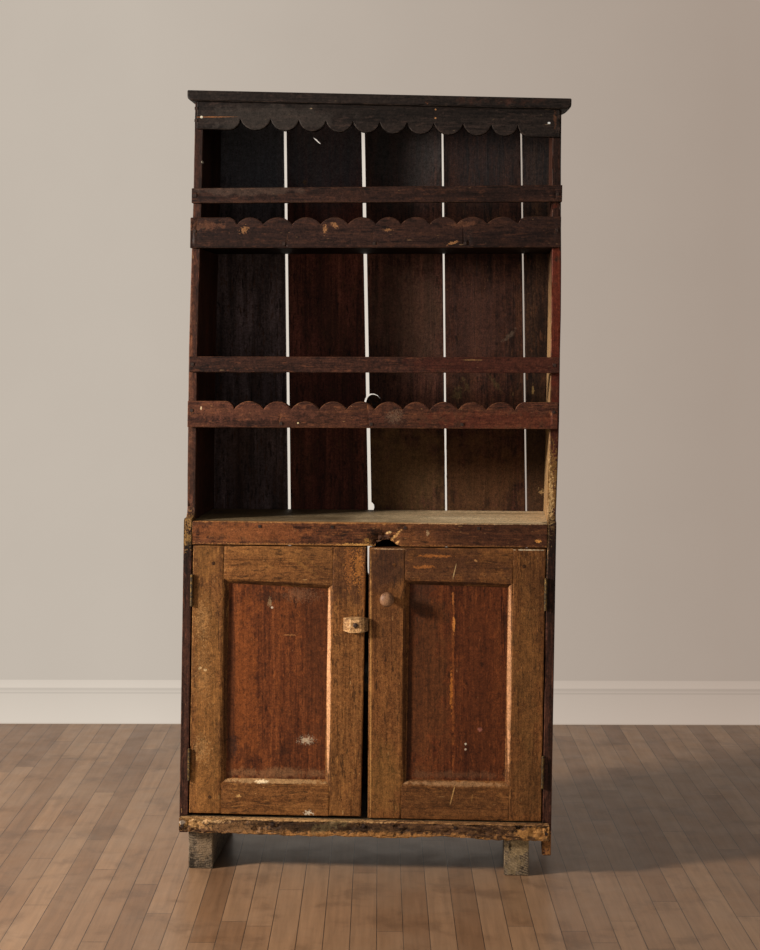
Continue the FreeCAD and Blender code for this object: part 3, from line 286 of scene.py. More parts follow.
class TimberGrain(Effect):
    """Fine fibres, soft streaks, growth lines and drying cracks of sawn pine."""

    title = "timber_grain"
    takes = (Socket("Vector", "NodeSocketVector"), Socket("Stretch", "NodeSocketVector"), Socket("Seed"))
    gives = (Socket("Fibre"), Socket("Streak"), Socket("Lines"), Socket("Cracks"), Socket("Height"))

    def wire(self, graph: Graph, inlet: Inlet) -> dict[str, bpy.types.NodeSocket]:
        """Noise drawn out along the board, bent a little by broader noise."""
        seed = inlet["Seed"]
        shift = graph.node("ShaderNodeCombineXYZ", {0: seed, 1: graph.math("MULTIPLY", seed, 1.7),
                                                    2: graph.math("MULTIPLY", seed, 2.3)}).outputs[0]
        drawn = graph.vector("ADD", graph.vector("MULTIPLY", inlet["Vector"], inlet["Stretch"]), shift)
        drift = graph.math("MULTIPLY", graph.math("SUBTRACT", graph.noise(drawn, 0.16, 2.0), 0.5), 2.4)
        offset = graph.node("ShaderNodeCombineXYZ", {0: drift, 1: drift, 2: drift}).outputs[0]
        bent = graph.vector("ADD", drawn, offset)
        fibre = graph.noise(bent, 2.1, 5.0, 0.75)
        streak = graph.noise(bent, 0.55, 4.0, 0.6)
        lines = graph.step(graph.noise(bent, 1.3, 3.0, 0.6), 0.54, 0.62)
        split = graph.noise(bent, 0.8, 2.0, 0.5, 0.2)
        cracks = graph.math("SUBTRACT", 1.0, graph.step(split, 0.235, 0.262))
        raised = graph.math("ADD", graph.math("MULTIPLY", fibre, 0.8), graph.math("MULTIPLY", lines, 0.25))
        height = graph.math("SUBTRACT", raised, graph.math("MULTIPLY", cracks, 0.9))
        return {"Fibre": fibre, "Streak": streak, "Lines": lines, "Cracks": cracks, "Height": height}


class Patches(Effect):
    """Ragged patches, such as stain, rubbed paint or dust."""

    title = "ragged_patches"
    takes = (Socket("Vector", "NodeSocketVector"), Socket("Stretch", "NodeSocketVector", (1.0, 1.0, 1.0)),
             Socket("Seed"), Socket("Scale", value=5.0), Socket("Share", value=0.4),
             Socket("Softness", value=0.12))
    gives = (Socket("Mask"),)

    def wire(self, graph: Graph, inlet: Inlet) -> dict[str, bpy.types.NodeSocket]:
        """Noise cut at the level that leaves the wanted share."""
        moved = graph.vector("ADD", graph.vector("MULTIPLY", inlet["Vector"], inlet["Stretch"]),
                             graph.node("ShaderNodeCombineXYZ",
                                        {0: inlet["Seed"], 2: inlet["Seed"]}).outputs[0])
        cloud = graph.noise(moved, inlet["Scale"], 7.0, 0.62, 0.25)
        level = graph.math("SUBTRACT", 0.72, graph.math("MULTIPLY", inlet["Share"], 0.44))
        low = graph.math("SUBTRACT", level, inlet["Softness"])
        high = graph.math("ADD", level, inlet["Softness"])
        return {"Mask": graph.step(cloud, low, high)}


class EdgeWear(Effect):
    """Rubbed edges, read from how near a point is to a board's edge."""

    title = "rubbed_edges"
    takes = (Socket("Vector", "NodeSocketVector"), Socket("Amount", value=0.5), Socket("Scale", value=30.0))
    gives = (Socket("Mask"),)

    def wire(self, graph: Graph, inlet: Inlet) -> dict[str, bpy.types.NodeSocket]:
        """Edge nearness broken up by noise."""
        near = graph.node("ShaderNodeAttribute", attribute_name="edge").outputs["Fac"]
        ragged = graph.noise(inlet["Vector"], inlet["Scale"], 5.0, 0.65)
        total = graph.math("ADD", graph.math("MULTIPLY", near, 0.75), graph.math("MULTIPLY", ragged, 0.85))
        level = graph.math("SUBTRACT", 1.32, graph.math("MULTIPLY", inlet["Amount"], 0.45))
        return {"Mask": graph.step(total, graph.math("SUBTRACT", level, 0.1), graph.math("ADD", level, 0.1))}


class LocalMark(Effect):
    """Soft ragged spot at one place."""

    title = "local_mark"
    takes = (Socket("Vector", "NodeSocketVector"), Socket("Centre", "NodeSocketVector"), Socket("Turn"),
             Socket("Closeness", "NodeSocketVector"), Socket("Ragged", value=0.4),
             Socket("Scale", value=60.0),
             Socket("Softness", value=0.25))
    gives = (Socket("Mask"),)

    def wire(self, graph: Graph, inlet: Inlet) -> dict[str, bpy.types.NodeSocket]:
        """Distance from the centre in units of the spot's reach, roughened."""
        offset = graph.vector("SUBTRACT", inlet["Vector"], inlet["Centre"])
        turned = graph.node("ShaderNodeVectorRotate", {"Vector": offset, "Angle": inlet["Turn"]},
                            rotation_type="Y_AXIS").outputs[0]
        away = graph.vector("MULTIPLY", turned, inlet["Closeness"])
        length = graph.length(away)
        ragged = graph.math("SUBTRACT", graph.noise(inlet["Vector"], inlet["Scale"], 5.0, 0.65), 0.5)
        rough = graph.math("MULTIPLY", graph.math("MULTIPLY", ragged, inlet["Ragged"]), 4.0)
        total = graph.math("ADD", length, rough)
        low = graph.math("SUBTRACT", 1.0, inlet["Softness"])
        high = graph.math("ADD", 1.0, inlet["Softness"])
        return {"Mask": graph.math("SUBTRACT", 1.0, graph.step(total, low, high))}


class Flecks(Effect):
    """Scattered specks: chips down to bare wood, paint spots and worm holes."""

    title = "flecks"
    takes = (Socket("Vector", "NodeSocketVector"), Socket("Stretch", "NodeSocketVector", (1.0, 1.0, 1.0)),
             Socket("Scale", value=60.0), Socket("Size", value=0.16), Socket("Share", value=0.3),
             Socket("Seed"))
    gives = (Socket("Mask"),)

    def wire(self, graph: Graph, inlet: Inlet) -> dict[str, bpy.types.NodeSocket]:
        """Cells whose own value passes the share, each with a small core."""
        moved = graph.vector("ADD", graph.vector("MULTIPLY", inlet["Vector"], inlet["Stretch"]),
                             graph.node("ShaderNodeCombineXYZ",
                                        {1: inlet["Seed"], 2: inlet["Seed"]}).outputs[0])
        cells = graph.node("ShaderNodeTexVoronoi", {"Vector": moved, "Scale": inlet["Scale"]})
        pick = graph.node("ShaderNodeSeparateColor", {0: cells.outputs["Color"]}).outputs[0]
        chosen = graph.math("LESS_THAN", pick, inlet["Share"])
        uneven = graph.noise(moved, graph.math("MULTIPLY", inlet["Scale"], 4.0))
        reach = graph.math("ADD", graph.math("MULTIPLY", uneven, 0.12), inlet["Size"])
        core = graph.math("LESS_THAN", cells.outputs["Distance"], graph.math("SUBTRACT", reach, 0.06))
        return {"Mask": graph.math("MULTIPLY", chosen, core)}


GRAIN = TimberGrain()
PATCHES = Patches()
EDGES = EdgeWear()
MARK = LocalMark()
FLECKS = Flecks()


# ------------------------------------------------------------------ finishes
FINE_SAND = 330.0
COARSE_SAND = 95.0
RING_DENSITY = 1100.0
# near-black for the painted shade on the undersides of boards
UNDERSIDE_SHADE = "080504"
CRACK_BLACK = "0c0705"
PIT_BLACK = "0a0604"


@dataclass(frozen=True)
class Mark:
    """A spot of another colour at one place on a piece: a stain, chip or speck, and in places painted light
    and shade.
    """

    centre: Place
    reach: Place
    colour: str
    strength: float = 1.0
    ragged: float = 0.25
    scale: float = 60.0
    turn: float = 0.0
    softness: float = 0.25


def spots(y: float, deep: float, *rows: tuple) -> tuple[Mark, ...]:
    """Marks on one face of a piece.

    Args:
        y: where the face is.
        deep: how far the marks reach in from it.
        *rows: for each mark its x, z, half width, half height and colour, then Mark's other fields in order.

    Returns:
        The marks in the order of the rows.
    """
    return tuple(Mark((x, y, z), (wide, deep, tall), *rest) for x, z, wide, tall, *rest in rows)


@dataclass(frozen=True)
class WoodFinish:
    """Colour, wear and relief of one kind of old pine surface."""

    dark: str
    middle: str
    light: str
    contrast: float = 0.95
    streaks: float = 0.5
    mottle: float = 0.35
    stain: str = "1a110c"
    stain_share: float = 0.35
    stain_strength: float = 0.5
    worn: str = "7d5632"
    wear: float = 0.5
    rubbed: str = "6b4426"
    rubbed_share: float = 0.2
    rubbed_strength: float = 0.5
    fleck: str = "a98a5f"
    fleck_share: float = 0.04
    pit_share: float = 0.05
    speckle: float = 0.27
    # how far faces that look downwards are darkened: painted shade
    grime_and_underside_shade: float = 0.75
    grit: float = 0.75
    blotch: float = 0.19
    blotch_scale: float = 7.0
    rings: Place | None = None
    crack_strength: float = 0.6
    across: float = 130.0
    lengthways: float = 4.0
    rough: float = 0.6
    rough_spread: float = 0.25
    relief: float = 0.5
    shine: float = 0.14

    def toned(self, red: float, green: float | None = None, blue: float | None = None) -> "WoodFinish":
        """The same finish, darker or lighter by a share of each colour's light."""
        names = ("dark", "middle", "light", "stain", "worn", "rubbed", "fleck")
        shares = (red, green or red, blue or red)
        return replace(self, **{name: scaled(getattr(self, name), shares) for name in names})

    def stretch(self, along: Along) -> Place:
        """How much the grain's pattern is squeezed on each axis."""
        scale = [self.across] * 3
        scale[along.value] = self.lengthways
        return (scale[0], scale[1], scale[2])

    def material(self, name: str, along: Along, seed: float,
                 marks: tuple[Mark, ...] = ()) -> bpy.types.Material:
        """Build the material for one piece.

        Args:
            name: the material's name.
            along: the axis of the grain.
            seed: moves the pattern, so that no two boards are alike.
            marks: spots at their own places.

        Returns:
            The finished material.
        """
        made, graph = new_material(name)
        where = graph.node("ShaderNodeTexCoord").outputs["Object"]
        grain = graph.group(GRAIN.tree(), {"Vector": where, "Stretch": self.stretch(along), "Seed": seed})
        colour = self.base(graph, grain, where)
        colour, pits = self.age(graph, colour, grain, where, along, seed)
        for mark in marks:
            spot = graph.group(MARK.tree(), {
                "Vector": where, "Centre": mark.centre, "Turn": math.radians(mark.turn),
                "Ragged": mark.ragged,
                "Closeness": tuple(1.0 / r for r in mark.reach), "Scale": mark.scale,
                "Softness": mark.softness})
            share = graph.math("MULTIPLY", spot.outputs[0], mark.strength)
            varied = graph.mix(graph.math("MULTIPLY", grain.outputs["Fibre"], 0.5), linear(mark.colour),
                               colour)
            colour = graph.mix(share, colour, varied)
        sand = graph.math("ADD", graph.math("MULTIPLY", graph.noise(where, FINE_SAND, 3.0, 0.9), 0.65),
                          graph.math("MULTIPLY", graph.noise(where, COARSE_SAND, 3.0, 0.7), 0.35))
        colour = graph.vary(colour, sand, self.grit, 0.32, 0.68)
        # Faces that look downwards are darkened towards a near-black: painted shade on the undersides.
        facing = graph.node("ShaderNodeNewGeometry").outputs["Normal"]
        upward = graph.node("ShaderNodeSeparateXYZ", {0: facing}).outputs[2]
        underside_shade_mask = graph.step(graph.math("MULTIPLY", upward, -1.0), 0.55, 0.9)
        colour = graph.mix(graph.math("MULTIPLY", underside_shade_mask, self.grime_and_underside_shade), colour, linear(UNDERSIDE_SHADE))
        rough = graph.math("ADD", self.rough - self.rough_spread / 2,
                           graph.math("MULTIPLY", grain.outputs["Fibre"], self.rough_spread))
        height = graph.math("SUBTRACT", grain.outputs["Height"], graph.math("MULTIPLY", pits, 0.7))
        height = graph.math("ADD", height, graph.math("MULTIPLY", graph.noise(where, 60.0, 5.0, 0.6), 1.3))
        bump = graph.node("ShaderNodeBump", {"Height": height, "Distance": 0.0012, "Strength": self.relief})
        shader = graph.node("ShaderNodeBsdfPrincipled", {"Base Color": colour, "Roughness": rough,
                                                         "Normal": bump.outputs[0],
                                                         "Specular IOR Level": self.shine})
        graph.node("ShaderNodeOutputMaterial", {0: shader.outputs[0]})
        return made

    def base(self, graph: Graph, grain: bpy.types.Node, where: bpy.types.NodeSocket) -> bpy.types.NodeSocket:
        """Colour of the wood itself, from its fibres and streaks."""
        mottle = graph.noise(where, 170.0, 4.0, 0.85)
        streak = graph.math("MULTIPLY", grain.outputs["Streak"], self.streaks)
        fibre = graph.math("MULTIPLY", grain.outputs["Fibre"], 1.0 - self.streaks)
        tone = graph.math("ADD", streak, fibre)
        tone = graph.math("ADD", graph.math("MULTIPLY", tone, 1.0 - self.mottle),
                          graph.math("MULTIPLY", mottle, self.mottle))
        tone = graph.math("SUBTRACT", tone, graph.math("MULTIPLY", grain.outputs["Lines"], 0.04))
        if self.rings:
            tone = graph.math("ADD", tone, self.growth_rings(graph, where))
        spread = 0.2 - 0.12 * self.contrast
        return graph.ramp(tone, [(0.5 - spread, linear(self.dark)), (0.5, linear(self.middle)),
                                 (0.5 + spread, linear(self.light))])

    def growth_rings(self, graph: Graph, where: bpy.types.NodeSocket) -> bpy.types.NodeSocket:
        """Rings of an end cut round the heart of the log, as a small lift of tone."""
        away = graph.vector("SUBTRACT", where, self.rings)
        flat = graph.length(graph.vector("MULTIPLY", away, (1.0, 0.0, 1.0)))
        bent = graph.math("ADD", graph.math("MULTIPLY", flat, RING_DENSITY),
                          graph.math("MULTIPLY", graph.noise(where, 40.0), 9.0))
        return graph.math("MULTIPLY", graph.math("SINE", bent), 0.09)

    def age(self, graph: Graph, colour: bpy.types.NodeSocket, grain: bpy.types.Node,
            where: bpy.types.NodeSocket,
            along: Along, seed: float) -> tuple[bpy.types.NodeSocket, bpy.types.NodeSocket]:
        """Lay stain, rubbing, edge wear, cracks, specks and pits over a colour.

        Args:
            graph: where the nodes go.
            colour: the wood's own colour.
            grain: the placed grain group.
            where: coordinates on the piece.
            along: the axis of the grain.
            seed: moves the pattern.

        Returns:
            The aged colour, and the mask of the pits.
        """
        squeeze = tuple(0.25 if i == along.value else 1.0 for i in range(3))
        cloud = graph.noise(graph.vector("MULTIPLY", where, squeeze), self.blotch_scale, 4.0)
        colour = graph.vary(colour, cloud, self.blotch)
        rubbed = graph.group(PATCHES.tree(), {"Vector": where, "Stretch": squeeze, "Seed": seed + 3.1,
                                              "Scale": 14.0,
                                              "Share": self.rubbed_share, "Softness": 0.09})
        rub = graph.math("MULTIPLY", rubbed.outputs[0], graph.math("MULTIPLY", grain.outputs["Fibre"],
                                                                   2.0 * self.rubbed_strength), True)
        colour = graph.mix(rub, colour, linear(self.rubbed))
        stain = graph.group(PATCHES.tree(), {"Vector": where, "Stretch": squeeze, "Seed": seed + 7.7,
                                             "Scale": 7.0,
                                             "Share": self.stain_share, "Softness": 0.12})
        colour = graph.mix(graph.math("MULTIPLY", stain.outputs[0], self.stain_strength), colour,
                           linear(self.stain))
        worn = graph.group(EDGES.tree(), {"Vector": where, "Amount": self.wear, "Scale": 42.0})
        bare = graph.mix(grain.outputs["Fibre"], linear(self.rubbed), linear(self.worn))
        colour = graph.mix(worn.outputs[0], colour, bare)
        drawn = tuple(0.22 if i == along.value else 1.0 for i in range(3))
        for tint, strength in ((self.stain, 0.75), (self.rubbed, 0.7)):
            seed += 11.0
            specks = graph.group(PATCHES.tree(), {"Vector": where, "Stretch": drawn, "Seed": seed,
                                                  "Scale": 150.0,
                                                  "Share": self.speckle, "Softness": 0.05})
            colour = graph.mix(graph.math("MULTIPLY", specks.outputs[0], strength), colour, linear(tint))
        cracks = graph.math("MULTIPLY", grain.outputs["Cracks"], self.crack_strength)
        colour = graph.mix(cracks, colour, linear(CRACK_BLACK))
        for scale, share in ((110.0, self.fleck_share), (240.0, self.fleck_share * 1.6)):
            flecks = graph.group(FLECKS.tree(), {"Vector": where, "Stretch": drawn, "Scale": scale,
                                                 "Size": 0.15,
                                                 "Share": share, "Seed": seed + scale})
            colour = graph.mix(graph.math("MULTIPLY", flecks.outputs[0], 0.6), colour, linear(self.fleck))
        pits = graph.group(FLECKS.tree(), {"Vector": where, "Scale": 150.0, "Size": 0.15,
                                           "Share": self.pit_share,
                                           "Seed": seed + 5.0})
        return graph.mix(graph.math("MULTIPLY", pits.outputs[0], 0.75), colour,
                         linear(PIT_BLACK)), pits.outputs[0]


@dataclass(frozen=True)
class MetalFinish:
    """Old iron or brass, dull and blotched."""

    bright: str
    dull: str
    crust: str
    dull_share: float = 0.5
    crust_share: float = 0.35
    metallic: float = 0.8
    rough: float = 0.5
    relief: float = 0.5

    def material(self, name: str, seed: float) -> bpy.types.Material:
        """Build the material for one group of ironwork.

        Args:
            name: the material's name.
            seed: moves the blotches.

        Returns:
            The finished material.
        """
        made, graph = new_material(name)
        where = graph.node("ShaderNodeTexCoord").outputs["Object"]
        dull = graph.group(PATCHES.tree(), {"Vector": where, "Seed": seed, "Scale": 160.0,
                                            "Share": self.dull_share,
                                            "Softness": 0.15})
        crust = graph.group(PATCHES.tree(), {"Vector": where, "Seed": seed + 4.0, "Scale": 300.0,
                                             "Share": self.crust_share, "Softness": 0.08})
        colour = graph.mix(dull.outputs[0], linear(self.bright), linear(self.dull))
        colour = graph.mix(crust.outputs[0], colour, linear(self.crust))
        metallic = graph.math("MULTIPLY", graph.math("SUBTRACT", 1.0, crust.outputs[0]), self.metallic)
        rough = graph.math("ADD", self.rough, graph.math("MULTIPLY", crust.outputs[0], 0.35), True)
        height = graph.noise(where, 500.0, 3.0)
        bump = graph.node("ShaderNodeBump", {"Height": height, "Distance": 0.0004, "Strength": self.relief})
        shader = graph.node("ShaderNodeBsdfPrincipled", {"Base Color": colour, "Metallic": metallic,
                                                         "Roughness": rough, "Normal": bump.outputs[0]})
        graph.node("ShaderNodeOutputMaterial", {0: shader.outputs[0]})
        return made


DARK_TOP = WoodFinish("130e0d", "221b18", "2f2622", worn="48382a", wear=0.4, rubbed="372a25",
                      rubbed_share=0.25,
                      stain="090706", stain_share=0.4, fleck="705f48", fleck_share=0.02)
RAIL_PINE = WoodFinish("190d0a", "2b1a16", "3d261c", worn="5e3d25", wear=0.5, rubbed="462a1e",
                       rubbed_share=0.35,
                       stain="0d0706", stain_share=0.35, fleck="7a5e42", fleck_share=0.04)
RAIL_RED = replace(RAIL_PINE, dark="24120d", middle="3f241b", light="563426", rubbed="5a3524")
DARK_RED = WoodFinish("28140e", "47271d", "5e3726", worn="815331", wear=0.55, rubbed="683e28",
                      rubbed_share=0.35,
                      stain="180d09", stain_share=0.35, fleck="a47d51", fleck_share=0.05)
WAIST_PINE = WoodFinish("2c150b", "502d1b", "6b3e24", worn="936337", wear=0.6, rubbed="794b2a",
                        rubbed_share=0.35,
                        stain="170d08", stain_share=0.35, fleck="a27b4e", fleck_share=0.05)
BASE_PINE = WoodFinish("2a1a11", "523724", "76512f", contrast=0.7, worn="9a6c40", wear=0.75, rubbed="85603a",
                       rubbed_share=0.4, stain="17100b", stain_share=0.4, fleck="b08a58", fleck_share=0.06,
                       pit_share=0.1, relief=0.9)
SIDE_PINE = WoodFinish("1f110a", "382018", "4e2e20", worn="74452a", wear=0.5, rubbed="593426",
                       rubbed_share=0.3,
                       stain="120907", stain_share=0.4, fleck="906843", fleck_share=0.04)
SHELF_PINE = WoodFinish("a8865c", "e0c092", "f0d8b0", worn="f4e2c4", wear=0.5, rubbed="d8b684",
                        rubbed_share=0.5,
                        stain="4a3520", stain_share=0.35, fleck="e0cba0", fleck_share=0.04)
INNER_PINE = SHELF_PINE.toned(0.08)
DOOR_FRAME = WoodFinish("5a3719", "7a4e28", "8f6034", contrast=0.95, mottle=0.45, worn="b08048", wear=0.45,
                        rubbed="936334", rubbed_share=0.3, stain="33200f", stain_share=0.36,
                        stain_strength=0.5,
                        fleck="c79a62", fleck_share=0.05, relief=0.45)
DOOR_PANEL = WoodFinish("441f0d", "613217", "77411f", contrast=0.95, streaks=0.6, mottle=0.3, worn="8b562d",
                        wear=0.3, rubbed="7d441f", rubbed_share=0.35, stain="271208", stain_share=0.36,
                        stain_strength=0.5, fleck="a77a50", fleck_share=0.02, relief=0.4)
RUNNER_GREY = WoodFinish("3a3128", "665a4a", "82745f", contrast=0.7, worn="8f8470", wear=0.5, rubbed="75695a",
                         rubbed_share=0.4, stain="221c16", stain_share=0.35, fleck="a39a88", fleck_share=0.05,
                         across=160.0, lengthways=12.0, relief=0.8)
KNOB_WOOD = WoodFinish("5c3c26", "835c40", "99704f", worn="a88260", wear=0.2, rubbed="8c6647", stain="3e2818",
                       stain_share=0.35, fleck_share=0.01, across=220.0, lengthways=30.0, rough=0.55,
                       relief=0.1,
                       shine=0.35, grit=0.3)
BUTTON_WOOD = WoodFinish("654428", "8f683f", "ac8458", worn="c9a678", wear=0.6, rubbed="a07850",
                         stain="4a3220",
                         stain_share=0.35, fleck="d8c8a8", fleck_share=0.06, across=200.0, lengthways=16.0)
OLD_BRASS = MetalFinish("8a6c3a", "4a3a22", "1e1710", dull_share=0.55, crust_share=0.45)
SCREW_IRON = MetalFinish("4a423a", "2f2823", "3a2417", dull_share=0.5, crust_share=0.5)
NAIL_IRON = MetalFinish("2a2521", "1c1815", "2e1a10", dull_share=0.5, crust_share=0.6)


# ------------------------------------------------------------------ worn boards
@dataclass(frozen=True)
class Bite:
    """A place where an edge is eaten away more deeply."""

    centre: Place
    radius: float
    depth: float


@dataclass(frozen=True)
class Hole:
    """A ragged opening right through a board, given on its front."""

    outline: tuple[tuple[float, float], ...]


@dataclass(frozen=True)
class Wear:
    """How the edges of a board have gone."""

    rounding: float = 0.0008
    chips: float = 0.0012
    chip_level: float = 0.25
    step: float = 0.012
    band: float = 0.0024
    inner: float = 0.006
    grain_noise: float = 45.0
    bites: tuple[Bite, ...] = ()
    rot: float = 0.0
    rot_below: float = 0.0
    rot_blend: float = 0.01
    cross_step: float = 0.0
    gouge: float = 0.0
    gouge_level: float = 0.05
    bow: tuple[tuple[float, float], ...] = ()
    bow_inner: float = 1.0


@dataclass(frozen=True)
class BoardPlan:
    """One board: the node it stands for, and how it is finished."""

    node: str
    finish: WoodFinish
    slot: str
    along: Along
    wear: Wear = Wear()
    marks: tuple[Mark, ...] = ()
    holes: tuple[Hole, ...] = ()


SHARP = math.radians(32.0)
CREASE = math.radians(28.0)
FLAT = math.radians(0.8)
WELD = 2e-5
SMALL_HOLE_EDGE = 0.0046


def node_body(node: str) -> str:
    """Name of the body that a node belongs to."""
    bodies = frame["record"]["behaviour"]["bodies"]
    return next(name for name, members in bodies.items() if node in members)


def seed_of(name: str) -> float:
    """A steady number for a name, to vary its pattern."""
    return sum((i + 3) * ord(c) for i, c in enumerate(name)) % 997 / 7.3


class WornBoard:
    """Turns a frame solid into a board with worn, irregular edges."""

    def __init__(self, plan: BoardPlan) -> None:
        """Keep the plan and take a welded copy of the solid."""
        self.plan = plan
        self.mesh = bmesh.new()
        self.mesh.from_mesh(frame["nodes"][plan.node].data)
        bmesh.ops.remove_doubles(self.mesh, verts=self.mesh.verts[:], dist=WELD)
        bmesh.ops.dissolve_limit(self.mesh, angle_limit=FLAT, verts=self.mesh.verts[:],
                                 edges=self.mesh.edges[:])
        self.layer = self.mesh.verts.layers.float.new("edge")

    def build(self) -> bpy.types.Object:
        """Band, slice, wear and dress the board.

        Returns:
            The piece, riding on its body in place of its node.
        """
        self.band()
        self.slice(self.plan.along, self.plan.wear.step)
        if self.plan.wear.cross_step:
            across = Along.WIDTH if self.plan.along is Along.HEIGHT else Along.HEIGHT
            self.slice(across, self.plan.wear.cross_step)
        many = [face for face in self.mesh.faces if len(face.verts) > 4]
        bmesh.ops.triangulate(self.mesh, faces=many, quad_method="BEAUTY", ngon_method="BEAUTY")
        self.erode(self.sharp_corners())
        self.keep_inside()
        self.bow()
        self.smooth()
        piece = shown_mesh(self.plan.node + "_board", self.mesh)
        for hole in self.plan.holes:
            pierce(piece, hole)
        material = self.plan.finish.material(self.plan.node, self.plan.along, seed_of(self.plan.node),
                                             self.plan.marks)
        piece.data.materials.clear()
        piece.data.materials.append(material)
        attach(piece, node_body(self.plan.node))
        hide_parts(self.plan.node)
        return piece

    def slice(self, along: Along, step: float) -> None:
        """Cut the board at uneven spacing, so that its edges and faces can wander.

        Args:
            along: the axis that the cuts follow.
            step: their spacing.
        """
        axis = along.value
        low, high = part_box(self.plan.node)
        normal = Vector((0, 0, 0))
        normal[axis] = 1.0
        place = low[axis]
        seed = seed_of(self.plan.node)
        count = 0
        while True:
            count += 1
            uneven = abs(noise.noise(Vector((count * 1.37, seed, 0.5))))
            place += step * (0.7 + 0.9 * uneven)
            if place >= high[axis] - step / 3:
                break
            faces = [f for f in self.mesh.faces
                     if max(v.co[axis] for v in f.verts) > place > min(v.co[axis] for v in f.verts)]
            geometry = set(faces)
            for face in faces:
                geometry.update(face.edges)
                geometry.update(face.verts)
            bmesh.ops.bisect_plane(self.mesh, geom=list(geometry), plane_co=normal * place, plane_no=normal,
                                   dist=1e-5)

    def sharp_corners(self) -> set[bmesh.types.BMVert]:
        """Vertices that lie on a sharp edge, marked as such."""
        found: set[bmesh.types.BMVert] = set()
        short: dict[bmesh.types.BMVert, int] = {}
        hollow: set[bmesh.types.BMVert] = set()
        for edge in self.mesh.edges:
            if len(edge.link_faces) != 2 or edge.calc_face_angle(0.0) <= SHARP:
                continue
            found.update(edge.verts)
            if not edge.is_convex:
                hollow.update(edge.verts)
            if edge.calc_length() < SMALL_HOLE_EDGE:
                for vert in edge.verts:
                    short[vert] = short.get(vert, 0) + 1
        found -= {vert for vert in hollow if short.get(vert, 0) > 1}
        tree = KDTree(len(found))
        for index, vert in enumerate(found):
            tree.insert(vert.co, index)
        tree.balance()
        reach = 1.5 * (self.plan.wear.band + self.plan.wear.inner)
        for vert in self.mesh.verts:
            if vert in found:
                vert[self.layer] = 1.0
            elif vert[self.layer] and tree.find(vert.co)[2] > reach:
                vert[self.layer] = 0.0
        return found

    def regions(self) -> list[list[bmesh.types.BMFace]]:
        """Groups of faces that run smoothly into each other."""
        left = set(self.mesh.faces)
        groups = []
        while left:
            stack = [left.pop()]
            group = []
            while stack:
                face = stack.pop()
                group.append(face)
                for edge in face.edges:
                    if len(edge.link_faces) == 2 and edge.calc_face_angle(9.0) <= SHARP:
                        for other in edge.link_faces:
                            if other in left:
                                left.discard(other)
                                stack.append(other)
            groups.append(group)
        return groups

    def band(self) -> None:
        """Put bands of faces inside the outline of each wide enough side."""
        wear = self.plan.wear
        for group in self.regions():
            area = sum(face.calc_area() for face in group)
            inside = set(group)
            rim = sum(edge.calc_length() for edge in {e for f in group for e in f.edges}
                      if any(f not in inside for f in edge.link_faces))
            width = 2 * area / rim if rim else 0.0
            if width > (wear.band + wear.inner) * 2.6:
                self.inset(group, wear.band, 0.55)
                self.inset(group, wear.inner, 0.0)
            elif width > wear.band * 3.2:
                self.inset(group, wear.band, 0.15)

    def inset(self, group: list[bmesh.types.BMFace], thickness: float, value: float) -> None:
        """Draw the outline of a group of faces inwards, leaving a band round it.

        Args:
            group: the faces.
            thickness: how wide the band is.
            value: edge nearness at the band's inner line.
        """
        ring = bmesh.ops.inset_region(self.mesh, faces=group, thickness=thickness, depth=0.0,
                                      use_even_offset=False, use_boundary=True)["faces"]
        inner = {v for f in group for v in f.verts}
        for face in ring:
            for edge in face.edges:
                near, far = edge.verts
                if (near in inner) == (far in inner):
                    continue
                if far in inner:
                    near, far = far, near
                move = near.co - far.co
                if move.length > thickness * 1.3:
                    near.co = far.co + move * (thickness * 1.3 / move.length)
                near[self.layer] = value

    def erode(self, corners: set[bmesh.types.BMVert]) -> None:
        """Draw the corners in by an uneven amount, and rot what lies low."""
        wear = self.plan.wear
        self.mesh.normal_update()
        axis = self.plan.along.value
        seed = seed_of(self.plan.node)
        moves = []
        for vert in corners:
            place = vert.co * wear.grain_noise
            place[axis] *= 0.8
            place += Vector((seed, seed, seed))
            steady = 0.5 + 0.5 * noise.noise(place)
            chip = max(0.0, noise.noise(place * 0.7 + Vector((9.1, 3.3, 1.7))) - wear.chip_level)
            depth = min(wear.rounding * (0.4 + steady) + wear.chips * chip * 2.0, wear.band * 1.25)
            for bite in wear.bites:
                near = 1.0 - (vert.co - Vector(bite.centre)).length / bite.radius
                if near > 0:
                    depth += bite.depth * min(1.0, near * 2.0) * (0.55 + 0.9 * noise.noise(vert.co * 160.0))
            moves.append((vert, vert.normal * -depth))
        for vert in self.mesh.verts:
            if vert in corners or vert.normal.y > -0.8:
                continue
            place = Vector((vert.co.x * 45.0, vert.co.y * 45.0, vert.co.z * 110.0))
            rough = noise.noise(place + Vector((seed, 0, 0))) + 0.6 * noise.noise(place * 2.6)
            depth = wear.gouge * max(0.0, rough - wear.gouge_level)
            for bite in wear.bites:
                near = 1.0 - (vert.co - Vector(bite.centre)).length / bite.radius
                if near > 0 and wear.cross_step:
                    depth += bite.depth * min(1.0, near * 1.6) * (0.5 + noise.noise(vert.co * 140.0))
            if depth > 0:
                moves.append((vert, vert.normal * -depth))
        for vert, move in moves:
            vert.co += move
        for vert in self.mesh.verts:
            if wear.rot and vert.co.z < wear.rot_below:
                place = Vector((vert.co.x * 28.0, vert.co.y * 12.0, seed))
                ragged = 0.5 + 0.5 * noise.noise(place) + 0.35 * noise.noise(place * 3.1)
                share = min(1.0, (wear.rot_below - vert.co.z) / wear.rot_blend)
                vert.co.z += wear.rot * max(0.0, ragged) * share

    def keep_inside(self) -> None:
        """Hold every point within the box of the node."""
        low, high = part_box(self.plan.node)
        for vert in self.mesh.verts:
            vert.co = Vector([min(max(vert.co[i], low[i]), high[i]) for i in range(3)])

